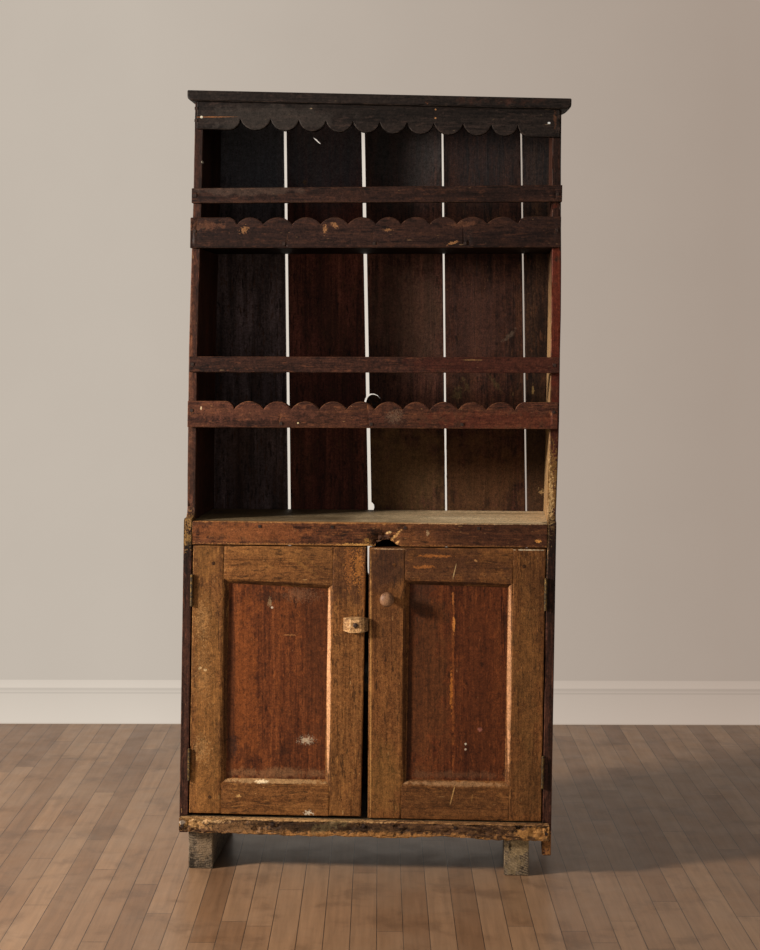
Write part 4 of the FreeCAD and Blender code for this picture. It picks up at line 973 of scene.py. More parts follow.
    def bow(self) -> None:
        """Bend an upright board sideways, by its (height, shift) pairs."""
        wear = self.plan.wear
        if not wear.bow:
            return
        low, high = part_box(self.plan.node)
        outward = 1.0 if low[0] + high[0] > 0 else -1.0
        for vert in self.mesh.verts:
            (below, first), (above, last) = wear.bow[0], wear.bow[-1]
            shift = first if vert.co.z <= below else last
            for (z0, s0), (z1, s1) in zip(wear.bow, wear.bow[1:]):
                if z0 <= vert.co.z <= z1:
                    shift = s0 + (s1 - s0) * (vert.co.z - z0) / (z1 - z0)
            across = (vert.co.x - low[0]) / (high[0] - low[0])
            outer = across if outward > 0 else 1.0 - across
            vert.co.x += outward * shift * (wear.bow_inner + (1.0 - wear.bow_inner) * outer)

    def smooth(self) -> None:
        """Shade curved sides smoothly and keep corners crisp."""
        self.mesh.normal_update()
        for face in self.mesh.faces:
            face.smooth = True
        for edge in self.mesh.edges:
            edge.smooth = not (len(edge.link_faces) == 2 and edge.calc_face_angle(0.0) > CREASE)


def ring_outline(x: float, z: float, wide: float, tall: float, count: int) -> Hole:
    """Ragged round outline.

    Args:
        x: its centre.
        z: its centre's height.
        wide: radius across.
        tall: radius up and down.
        count: number of corners.

    Returns:
        The outline as a hole.
    """
    corners = []
    for i in range(count):
        turn = 2 * math.pi * i / count
        rough = 1.0 + 0.10 * noise.noise(Vector((3.0 * math.cos(turn), 3.0 * math.sin(turn), 90.0 * x)))
        corners.append((x + wide * rough * math.cos(turn), z + tall * rough * math.sin(turn)))
    return Hole(tuple(corners))


def pierce(piece: bpy.types.Object, hole: Hole) -> None:
    """Cut a ragged opening through a board from front to back.

    Args:
        piece: the board.
        hole: its outline as (x, z) on the front.
    """
    lows = [min(v.co[i] for v in piece.data.vertices) for i in range(3)]
    highs = [max(v.co[i] for v in piece.data.vertices) for i in range(3)]
    mesh = bmesh.new()
    front = [mesh.verts.new((x, lows[1] - 0.01, z)) for x, z in hole.outline]
    back = [mesh.verts.new((x, highs[1] + 0.01, z)) for x, z in hole.outline]
    mesh.faces.new(front)
    mesh.faces.new(back[::-1])
    loft(mesh, [front, back])
    bmesh.ops.recalc_face_normals(mesh, faces=mesh.faces[:])
    cutter = shown_mesh("hole", mesh)
    cut = piece.modifiers.new("hole", "BOOLEAN")
    cut.operation = "DIFFERENCE"
    cut.solver = "EXACT"
    cut.object = cutter
    graph = bpy.context.evaluated_depsgraph_get()
    made = bpy.data.meshes.new_from_object(piece.evaluated_get(graph))
    piece.modifiers.clear()
    piece.data = made
    bpy.data.objects.remove(cutter)


def dress_node(node: str, material: bpy.types.Material, bevel: float = 0.0) -> None:
    """Give a frame node its finish, and soft corners if wanted.

    Args:
        node: the node's name.
        material: its finish.
        bevel: width of the softened corners, or 0.
    """
    shown = frame["nodes"][node]
    shown.data.materials.clear()
    shown.data.materials.append(material)
    if bevel:
        soft = shown.modifiers.new("soft corners", "BEVEL")
        soft.width = bevel
        soft.segments = 2
        soft.limit_method = "ANGLE"
        soft.angle_limit = math.radians(40.0)


# ------------------------------------------------------------------ sub-assemblies
@dataclass(frozen=True)
class BackTone:
    """Colours of one back board."""

    dark: str
    middle: str
    light: str


@dataclass
class Case:
    """Sides, top, back and bottom of the cupboard."""

    rot_left: tuple[Bite, ...] = (
        Bite((-0.4443, -0.151, 0.862), 0.025, 0.005), Bite((-0.4411, -0.151, 0.783), 0.022, 0.008),
        Bite((-0.450, -0.151, 0.815), 0.035, 0.004), Bite((-0.447, -0.151, 0.84), 0.02, 0.006))
    rot_right: tuple[Bite, ...] = (
        Bite((0.428, -0.151, 0.80), 0.03, 0.005), Bite((0.4286, -0.11, 0.93), 0.06, 0.004),
        Bite((0.428, -0.151, 0.834), 0.025, 0.005), Bite((0.405, -0.151, 0.052), 0.02, 0.012))
    bow_left: tuple[tuple[float, float], ...] = (
        (0.84, 0.0), (0.95, 0.0015), (1.25, 0.0025), (1.38, 0.001), (1.50, -0.001), (1.62, -0.003),
        (1.85, -0.004))
    bow_right: tuple[tuple[float, float], ...] = (
        (0.84, 0.0), (0.94, 0.0024), (1.02, 0.0042), (1.09, 0.005), (1.25, 0.004), (1.34, 0.0045),
        (1.46, 0.003),
        (1.58, 0.0), (1.70, -0.0022), (1.82, -0.003))
    # Each back board's own colour, set board by board lighter on the left, where the boards lie in the side's
    # shadow, and darker on the right, where the lamp reaches: painted light and shade as well.
    tones: tuple[BackTone, ...] = (
        BackTone("392e2e", "5d4d4d", "776464"), BackTone("45241c", "66362c", "844a39"),
        BackTone("2e1a14", "503128", "694032"), BackTone("1c0e09", "371e16", "4c2c1f"),
        BackTone("1c100b", "352219", "4a3322"))
    back_face: float = 0.1688
    knot_place: tuple[float, float] = (-0.0234, 1.1180)
    knot_radius: float = 0.0188
    knot_sides: int = 22

    def sides(self) -> list[BoardPlan]:
        """Plans of the two side boards."""
        left = Wear(rounding=0.0014, chips=0.005, chip_level=0.15, step=0.010, band=0.0022, inner=0.004,
                    bites=self.rot_left, bow=self.bow_left)
        right = replace(left, bites=self.rot_right, bow=self.bow_right, bow_inner=0.3)
        return [
            BoardPlan("side_left", SIDE_PINE, "dark_red_pine", Along.HEIGHT, left, (
                Mark((-0.446, -0.15, 0.820), (0.03, 0.03, 0.055), "140b07", 0.9, 1.9, 210.0),
                Mark((-0.446, -0.15, 0.845), (0.03, 0.03, 0.022), "a07844", 0.7, 2.1, 260.0),
                Mark((-0.444, -0.15, 0.796), (0.03, 0.03, 0.016), "a07844", 0.7, 2.1, 260.0),
                Mark((-0.4411, -0.15, 0.783), (0.012, 0.03, 0.010), "0b0705", 0.9, 0.8, 120.0),
                Mark((-0.4223, -0.103, 1.7103), (0.003, 0.02, 0.003), "e8ddc8", 1.0, 0.05),
                Mark((-0.452, -0.11, 1.27), (0.006, 0.02, 0.33), "7a4e38", 0.45, 1.4, 90.0),
                Mark((-0.44, -0.11, 0.96), (0.03, 0.03, 0.10), "1c120c", 0.6, 1.6, 60.0),
                Mark((-0.43, -0.10, 1.72), (0.03, 0.03, 0.14), "1c1412", 0.6, 0.3, 20.0),
            )),
            BoardPlan("side_right", SIDE_PINE, "dark_red_pine", Along.HEIGHT, right, (
                Mark((0.4135, 0.05, 1.30), (0.012, 0.40, 0.62), "a8845a", 0.95, 0.08, 60.0, softness=0.12),
                Mark((0.44, -0.115, 1.36), (0.03, 0.03, 0.20), "6a2818", 0.75, 0.7, 50.0),
                Mark((0.44, -0.115, 1.12), (0.03, 0.03, 0.16), "4a1c12", 0.7, 0.6, 50.0),
                Mark((0.434, -0.12, 0.93), (0.03, 0.05, 0.07), "8a6434", 0.85, 2.0, 190.0),
                Mark((0.424, -0.12, 0.90), (0.005, 0.05, 0.06), "d8b078", 0.8, 1.8, 200.0),
                Mark((0.43, -0.15, 0.80), (0.03, 0.05, 0.04), "120a06", 0.8, 1.9, 160.0),
                Mark((0.432, -0.15, 0.075), (0.03, 0.05, 0.028), "a06a38", 0.85, 1.2, 120.0),
                Mark((0.44, -0.115, 1.72), (0.03, 0.04, 0.12), "1a1210", 0.7, 0.4, 30.0),
                Mark((0.44, -0.15, 0.70), (0.03, 0.04, 0.12), "150d09", 0.7, 1.2, 90.0),
            )),
        ]

    def backs(self) -> list[BoardPlan]:
        """Plans of the five back boards."""
        y = self.back_face
        narrow = (Bite((0.166, y, 0.95), 0.17, -0.0017), Bite((0.368, y, 0.93), 0.17, -0.0012))
        plain = Wear(rounding=0.0012, chips=0.008, chip_level=0.12, step=0.008, grain_noise=105.0,
                     bites=narrow)
        knot = ring_outline(-0.0262, 1.1192, 0.0212, 0.0205, 14)
        notch = Hole(((-0.0341, 0.8538), (-0.0303, 0.8585), (-0.0256, 0.8575), (-0.0217, 0.8526),
                      (-0.0204, 0.8462),
                      (-0.0222, 0.8389), (-0.0274, 0.8326), (-0.0341, 0.8305)))
        crack = Hole(((-0.1828, 1.8035), (-0.1740, 1.7985), (-0.1640, 1.7880), (-0.1590, 1.7830),
                      (-0.1665, 1.7870),
                      (-0.1760, 1.7960)))
        dot = ring_outline(-0.1954, 1.8140, 0.0018, 0.0016, 7)
        slit = Hole(((-0.0390, 0.800), (-0.0390, 0.690), (-0.0380, 0.674), (-0.0300, 0.664),
                     (-0.0300, 0.800)))
        holes = {2: (crack, dot, knot, slit), 3: (knot, notch)}
        # At the top of each back board a cool grey tint: painted light and shade, pale on boards 1 to 3,
        # which lie in deep shade, and dark on boards 4 and 5.
        top = {n: (Mark((x, y, 1.80), (0.13, 0.03, 0.16), painted_top_shading, 0.75, 0.2, 12.0, softness=0.45),)
               for n, x, painted_top_shading in ((1, -0.33, "7c7e86"), (2, -0.14, "76767c"), (3, 0.07, "5a5858"),
                                   (4, 0.26, "2a2a2c"), (5, 0.39, "2a2a2c"))}
        marks = {
            2: (Mark((-0.2017, y, 1.6863), (0.005, 0.03, 0.005), "8a6a48", 0.8, 1.2, 200.0),),
            # The broad soft patches near heights 0.92 to 0.95 and 1.33 on boards 3, 4 and 5 are painted
            # light, lighter low in each open bay; the smaller marks are stains and specks on the wood.
            3: spots(y, 0.03,
                (0.06, 0.92, 0.12, 0.12, "6a5030", 0.75, 0.8, 25.0, 0.0, 0.6),
                (0.075, 1.34, 0.09, 0.12, "5c4436", 0.6, 0.8, 30.0, 0.0, 0.6)),
            4: spots(y, 0.03,
                (0.255, 0.92, 0.12, 0.1, "5e4026", 0.7, 0.9, 25.0, 0.0, 0.6),
                (0.235, 1.33, 0.08, 0.12, "4a3028", 0.6, 0.9, 30.0, 0.0, 0.6),
                (0.328, 1.291, 0.02, 0.005, "6a5a4c", 0.5, 1.3, 120.0, 45.0, 0.5),
                (0.195, 1.14, 0.012, 0.016, "6e5c38", 0.35, 1.2, 120.0, -25.0, 0.6),
                (0.216, 1.162, 0.005, 0.02, "645434", 0.35, 1.2, 120.0, 25.0, 0.6),
                (0.289, 1.168, 0.005, 0.022, "645434", 0.35, 1.2, 120.0, 35.0, 0.6)),
            5: spots(y, 0.03,
                (0.395, 0.95, 0.08, 0.14, "4e3824", 0.6, 0.7, 25.0, 0.0, 0.6),
                (0.3875, 1.15, 0.004, 0.012, "a88a58", 0.8, 0.8, 90.0),
                (0.4086, 0.888, 0.006, 0.006, "b89868", 0.8, 1.4, 150.0)),
        }
        boards = []
        for number, tone in enumerate(self.tones, 1):
            finish = WoodFinish(tone.dark, tone.middle, tone.light, worn="6a4a30", wear=0.3, rubbed="4a2e1e",
                                rubbed_share=0.25, stain="0c0706", stain_share=0.4, fleck="7a5c3a",
                                fleck_share=0.01,
                                blotch=0.45, blotch_scale=16.0, across=110.0, streaks=0.7)
            boards.append(BoardPlan(f"back_board_{number}", finish, "back_board_pine", Along.HEIGHT, plain,
                                    top[number] + marks.get(number, ()), holes.get(number, ())))
        return boards

    def build(self) -> None:
        """Build the boards of the case."""
        top = Wear(rounding=0.0018, chips=0.005, chip_level=0.15, step=0.012, band=0.003)
        flat = [BoardPlan("top_board", DARK_TOP, "dark_top_pine", Along.WIDTH, top, spots(-0.17, 0.03,
            (0.0834, 1.8548, 0.003, 0.003, "a8693c", 0.9, 0.3, 200.0),
            (0.1268, 1.8474, 0.006, 0.005, "7a4a30", 0.8, 0.8, 200.0),
            (0.3, 1.848, 0.16, 0.012, "4a2c22", 0.6, 0.6, 40.0))),
                BoardPlan("bottom_board", INNER_PINE, "shelf_pine", Along.WIDTH, Wear(step=0.06))]
        for plan in self.sides() + flat + self.backs():
            report(WornBoard(plan).build())
        self.knot()

    def knot(self) -> None:
        """The loose black knot that plugs the gap beside the third back board."""
        low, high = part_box("back_board_3")
        mesh = bmesh.new()
        rings = []
        x, z = self.knot_place
        for y, share in ((low[1] + 0.001, 0.82), (low[1] + 0.0025, 1.0), (high[1] - 0.003, 0.92)):
            radius = self.knot_radius * share
            outline = ring_outline(x, z, radius, radius, self.knot_sides).outline
            rings.append([mesh.verts.new((out, y, up)) for out, up in outline])
        middle = mesh.verts.new((x, low[1] + 0.0032, z))
        for i in range(self.knot_sides):
            mesh.faces.new((rings[0][i], rings[0][(i + 1) % self.knot_sides], middle))
        loft(mesh, rings)
        mesh.faces.new(rings[-1])
        bmesh.ops.recalc_face_normals(mesh, faces=mesh.faces[:])
        made = shown_mesh("back_board_knot", mesh)
        finish = WoodFinish("0a0605", "1a100c", "2e1c12", worn="3a2416", fleck="6a5038", fleck_share=0.03)
        made.data.materials.append(finish.material("back_board_knot", Along.DEPTH, 12.0))
        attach(made, Body.CASE.value)
        report(made)


@dataclass
class Shelves:
    """Open shelves with their scalloped boards and plate rails, and the frieze."""

    facing: Wear = Wear(rounding=0.0009, chips=0.0024, chip_level=0.2, step=0.007, band=0.0021, inner=0.0016)
    face: float = -0.122

    def plans(self) -> list[BoardPlan]:
        """Plans of the shelves and of the boards across their fronts."""
        y = self.face
        orange = "a0673a"
        dull = WoodFinish("160e0a", "261810", "382418", worn="4a3420", wear=0.4, rubbed="3c2a1a",
                          rubbed_share=0.4,
                          stain="0c0806", stain_share=0.5, fleck="6a5236")
        pale = "c08858"
        return [
            BoardPlan("frieze", DARK_TOP, "dark_top_pine", Along.WIDTH, self.facing, spots(y, 0.03,
                (-0.3873, 1.8172, 0.05, 0.0014, orange, 0.9, 0.12, 40.0)) + spots(y, 0.02,
                (-0.4215, 1.8172, 0.003, 0.003, "f0e6d0", 1.0, 0.05),
                (0.4168, 1.7971, 0.0032, 0.0024, "ffffff", 1.0, 0.05),
                (-0.1549, 1.8359, 0.003, 0.0015, "b09878", 0.9, 0.1),
                (0.1455, 1.8313, 0.0022, 0.0022, pale, 0.9, 0.3),
                (0.1455, 1.8109, 0.0022, 0.0022, pale, 0.9, 0.3),
                (0.4311, 1.806, 0.003, 0.02, "5a3a28", 0.8, 1.2, 150.0),
                (-0.27, 1.812, 0.17, 0.03, "3a3430", 0.6, 0.6, 30.0))),
            BoardPlan("plate_rail_upper", RAIL_PINE, "dark_red_pine", Along.WIDTH, self.facing, (
                Mark((-0.30, y, 1.64), (0.12, 0.03, 0.012), "56443a", 0.5, 0.6, 30.0),
            )),
            BoardPlan("plate_rail_lower", RAIL_RED, "dark_red_pine", Along.WIDTH, self.facing, (
                Mark((0.119, y, 1.2392), (0.012, 0.02, 0.0022), "e0c090", 0.95, 0.2),
                Mark((0.235, y, 1.2302), (0.02, 0.02, 0.002), "b08a58", 0.7, 0.6),
                Mark((0.30, y, 1.222), (0.20, 0.03, 0.03), "451c13", 0.6, 0.5, 30.0),
            )),
            BoardPlan("scalloped_front_upper", RAIL_PINE, "dark_red_pine", Along.WIDTH, self.facing,
                      spots(y, 0.03,
                (0.1882, 1.5109, 0.008, 0.006, "120a07", 0.95, 0.2),
                (0.2096, 1.5564, 0.03, 0.006, "6a4430", 0.6, 0.9, 90.0),
                (-0.3175, 1.544, 0.009, 0.006, pale, 0.6, 1.3, 220.0, 30.0),
                (-0.096, 1.554, 0.008, 0.004, pale, 0.6, 1.4, 260.0, -30.0),
                (-0.1205, 1.545, 0.004, 0.008, pale, 0.6, 1.4, 260.0),
                (0.0318, 1.5425, 0.009, 0.003, pale, 0.5, 1.4, 260.0),
                (0.187, 1.511, 0.012, 0.003, pale, 0.6, 1.2, 260.0, 15.0),
                (-0.425, 1.5533, 0.05, 0.01, "6a4430", 0.6, 1.4, 120.0))),
            BoardPlan("scalloped_front_lower", DARK_RED, "dark_red_pine", Along.WIDTH, self.facing,
                      spots(y, 0.03,
                (0.048, 1.095, 0.026, 0.024, "24140f", 0.8, 1.4, 120.0),
                (0.048, 1.0935, 0.014, 0.012, "806450", 0.6, 2.2, 330.0),
                (-0.1854, 1.0767, 0.002, 0.002, "f0d8a8", 0.95, 0.2),
                (-0.4221, 1.1119, 0.002, 0.004, "e0c8a0", 0.9, 0.3),
                (-0.28, 1.1, 0.14, 0.018, "6a4030", 0.4, 1.2, 90.0),
                (0.3, 1.085, 0.15, 0.02, "5a2416", 0.5, 0.9, 60.0))),
            BoardPlan("shelf_upper", dull, "shelf_pine", Along.WIDTH, Wear(step=0.05)),
            BoardPlan("shelf_lower", dull, "shelf_pine", Along.WIDTH, Wear(step=0.05)),
        ]

    def build(self) -> None:
        """Build the shelves and their fronts."""
        for plan in self.plans():
            report(WornBoard(plan).build())


@dataclass
class Waist:
    """Counter board and the broken rail under its edge."""

    face: float = -0.1512

    def build(self) -> None:
        """Build the counter and its rail."""
        y = self.face
        pale = "f4dcb4"
        counter = (
            # Large soft pale patch over the right-hand part of the counter: painted light where the lamp
            # falls across the board.
            Mark((0.50, 0.03, 0.84), (0.48, 0.60, 0.06), "fbdcae", 1.0, 0.25, 14.0, softness=0.55),
            Mark((0.22, -0.02, 0.84), (0.10, 0.020, 0.03), pale, 0.9, 0.5, 30.0),
            Mark((0.14, 0.06, 0.84), (0.10, 0.025, 0.03), "c4a680", 0.8, 0.6, 30.0),
            Mark((0.30, 0.10, 0.84), (0.16, 0.02, 0.03), "b09068", 0.8, 0.6, 40.0),
            Mark((0.3891, 0.0, 0.839), (0.016, 0.004, 0.01), "15100a", 0.95, 0.1),
            Mark((0.4106, -0.1, 0.839), (0.008, 0.012, 0.01), "0c0805", 0.95, 0.2),
            Mark((0.3034, 0.1, 0.839), (0.12, 0.0015, 0.01), "2a1c10", 0.8, 0.05),
        )
        rail = spots(-0.141, 0.05,
            (0.22, 0.8425, 0.24, 0.0042, "f0d0a0", 0.95, 0.3, 120.0),
            (-0.15, 0.8425, 0.3, 0.0042, "a88458", 0.7, 0.5, 120.0)) + spots(y, 0.03,
            (0.0253, 0.8385, 0.006, 0.003, "c08850", 0.9, 0.8, 200.0),
            (0.3, 0.812, 0.16, 0.04, "3a2016", 0.6, 0.5, 20.0),
            (-0.12, 0.84, 0.32, 0.003, "a8713f", 0.6, 0.9, 60.0),
            (0.012, 0.803, 0.03, 0.018, "1c110a", 0.9, 1.0, 150.0),
            (0.06, 0.796, 0.026, 0.01, "6a4224", 0.8, 1.3, 200.0),
            (0.0475, 0.803, 0.022, 0.0035, "e0a868", 0.9, 1.1, 260.0, 47.0),
            (0.0365, 0.817, 0.007, 0.003, "f0c488", 0.9, 0.9, 260.0, 20.0),
            (0.056, 0.792, 0.008, 0.003, "e8b070", 0.9, 0.8, 260.0, 50.0),
            (0.0008, 0.814, 0.01, 0.004, "0a0604", 0.95, 0.8, 200.0),
            (-0.0154, 0.7962, 0.008, 0.005, "9a7038", 0.8, 1.6, 260.0),
            (-0.039, 0.7864, 0.04, 0.003, "d8a058", 0.8, 1.5, 260.0),
            (-0.2, 0.7855, 0.2, 0.0028, "b88048", 0.55, 1.6, 220.0),
            (0.25, 0.7855, 0.16, 0.0022, "a06c3c", 0.5, 1.6, 220.0)) + spots(y, 0.02,
            (0.1307, 0.8167, 0.003, 0.006, "b0906c", 0.8, 1.4, 200.0),
            (0.3937, 0.799, 0.008, 0.003, "e09a50", 0.95, 0.9, 150.0)) + spots(y, 0.03,
            (-0.3, 0.815, 0.14, 0.02, "94552c", 0.5, 0.9, 50.0))
        broken = (Bite((0.018, y, 0.795), 0.030, 0.008), Bite((0.045, y, 0.800), 0.022, 0.004),
                  Bite((-0.2035, -0.141, 0.785), 0.011, 0.007), Bite((0.1745, -0.141, 0.785), 0.011, 0.007))
        dark = SHELF_PINE.toned(0.22)
        report(WornBoard(BoardPlan("counter_board", dark, "shelf_pine", Along.WIDTH,
                                   Wear(step=0.02, chips=0.003),
                                   counter)).build())
        report(WornBoard(BoardPlan("counter_front_rail", WAIST_PINE, "dark_red_pine", Along.WIDTH,
                                   Wear(rounding=0.0012, chips=0.004, chip_level=0.12, step=0.006, band=0.002,
                                        inner=0.003, cross_step=0.005, gouge=0.0012, bites=broken),
                                        rail)).build())


@dataclass
class Base:
    """Rotted rail below the doors and the two runners."""

    face: float = -0.1712
    runner_marks: dict[str, tuple[Mark, ...]] = field(default_factory=lambda: {
        "left": spots(-0.15, 0.04,
            (-0.438, 0.012, 0.006, 0.018, "0c0a08", 0.9, 1.0, 120.0),
            (-0.41, 0.092, 0.05, 0.012, "2a2018", 0.7, 0.8, 60.0),
            (-0.4, 0.055, 0.03, 0.03, "8a7054", 0.5, 1.2, 90.0)),
        "right": spots(-0.15, 0.04,
            (0.345, 0.088, 0.05, 0.003, "0c0a08", 0.9, 0.9, 120.0),
            (0.35, 0.07, 0.03, 0.02, "a88c64", 0.8, 1.2, 90.0),
            (0.335, 0.03, 0.02, 0.025, "8a7454", 0.7, 1.3, 110.0),
            (0.328, 0.068, 0.003, 0.012, "0c0a08", 0.9, 1.0, 160.0)),
    })

    def build(self) -> None:
        """Build the base rail and the runners."""
        y = self.face
        rail = spots(y, 0.03,
            (0.02, 0.092, 0.3, 0.01, "b07a44", 0.85, 1.0, 60.0),
            (-0.16, 0.112, 0.24, 0.01, "1e140e", 0.75, 1.0, 50.0),
            (0.348, 0.12, 0.008, 0.006, "0c0705", 0.95, 1.0, 150.0),
            (0.385, 0.108, 0.045, 0.012, "b88248", 0.85, 1.3, 90.0),
            (-0.43, 0.115, 0.035, 0.012, "b08450", 0.75, 1.6, 110.0),
            (-0.4588, 0.1154, 0.006, 0.006, "f0e0d0", 0.95, 0.8, 200.0),
            (-0.403, 0.122, 0.05, 0.004, "c8a070", 0.85, 1.5, 200.0),
            (-0.2, 0.127, 0.26, 0.0022, "c89c68", 0.8, 1.0, 160.0),
            (0.25, 0.127, 0.2, 0.0018, "a87c50", 0.6, 1.0, 160.0),
            (-0.33, 0.105, 0.06, 0.012, "8a6440", 0.7, 1.6, 110.0)) + spots(y, 0.02,
            (0.0542, 0.0974, 0.004, 0.004, "0c0705", 0.95, 1.2, 200.0),
            (0.071, 0.1026, 0.003, 0.003, "0c0705", 0.95, 0.5, 200.0),
            (0.0518, 0.1189, 0.003, 0.003, "0c0705", 0.95, 0.5, 200.0)) + spots(y, 0.03,
            (-0.1, 0.118, 0.05, 0.012, "6a5a3c", 0.6, 1.2, 90.0, 20.0))
        ends = (Bite((-0.43, y, 0.118), 0.035, 0.006), Bite((-0.445, y, 0.130), 0.02, 0.006),
                Bite((0.352, y, 0.122), 0.014, 0.009), Bite((0.395, y, 0.110), 0.03, 0.004))
        worn = Wear(rounding=0.0022, chips=0.009, chip_level=0.05, step=0.0045, band=0.003, inner=0.004,
                    grain_noise=95.0, rot=0.006, rot_below=0.100, rot_blend=0.012, cross_step=0.0045,
                    gouge=0.0055, gouge_level=0.0, bites=ends)
        report(WornBoard(BoardPlan("base_rail", BASE_PINE, "dark_red_pine", Along.WIDTH, worn, rail)).build())
        rough = Wear(rounding=0.0025, chips=0.008, chip_level=0.1, step=0.012, band=0.003, inner=0.004,
                     cross_step=0.009, gouge=0.0025, gouge_level=0.1)
        for side, heart, lift in (("left", (-0.425, 0.0, 0.13), 1.05), ("right", (0.41, 0.0, 0.16), 1.3)):
            finish = replace(RUNNER_GREY.toned(lift, 0.92 * lift, 0.88 * lift), rings=heart)
            report(WornBoard(BoardPlan(f"runner_{side}", finish, "grey_runner", Along.DEPTH, rough,
                                       self.runner_marks[side])).build())


LEAF_SOFTNESS = 0.0003


@dataclass
class PanelDoor:
    """Framed door with its panel, pegs and hinge leaves."""

    side: str
    # shares of light that the door's finishes are toned by; the darker right door is painted shade for the
    # lamp's fall-off across the front
    tone: tuple[float, float, float]
    marks: dict[str, tuple[Mark, ...]] = field(default_factory=dict)

    def build(self) -> None:
        """Build the boards of the door and dress its small parts."""
        member = Wear(rounding=0.0009, chips=0.0030, chip_level=0.2, step=0.010, band=0.0022, inner=0.005)
        frame_finish = DOOR_FRAME.toned(*self.tone)
        for part, along, finish, slot in (
            ("hinge_stile", Along.HEIGHT, frame_finish, "ochre_brown_frame"),
            ("lock_stile", Along.HEIGHT, frame_finish, "ochre_brown_frame"),
            ("top_rail", Along.WIDTH, frame_finish, "ochre_brown_frame"),
            ("bottom_rail", Along.WIDTH, frame_finish, "ochre_brown_frame"),
            ("panel", Along.HEIGHT, DOOR_PANEL.toned(*self.tone), "red_brown_panel"),
        ):
            node = f"{self.side}_door_{part}"
            report(WornBoard(BoardPlan(node, finish, slot, along, member, self.marks.get(part, ()))).build())
        pegs = frame_finish.toned(0.9).material(f"{self.side}_pegs", Along.DEPTH, 2.0, self.marks["pegs"])
        dress_node(f"{self.side}_door_pegs", pegs, 0.0006)
        dress_node(f"{self.side}_door_hinge_screws", SCREW_IRON.material(f"{self.side}_hinge_screws", 1.0))
        for height in ("upper", "lower"):
            leaf = f"{self.side}_{height}_hinge_door_leaf"
            dress_node(leaf, OLD_BRASS.material(leaf, 3.0), LEAF_SOFTNESS)


FACE = -0.1512
BEVEL = -0.146
SUNK = -0.1412
# Bevels round the panels that face left, towards the lamp: pale worn wood with a painted highlight.
BEVEL_WEAR_AND_HIGHLIGHT = "d9a073"
BEVEL_WEAR_AND_DIM_HIGHLIGHT = "cc9368"
PEG_DARK = "22150c"
# Bevels that face right or down, away from the lamp: painted shade.
BEVEL_SHADE = "2c1609"

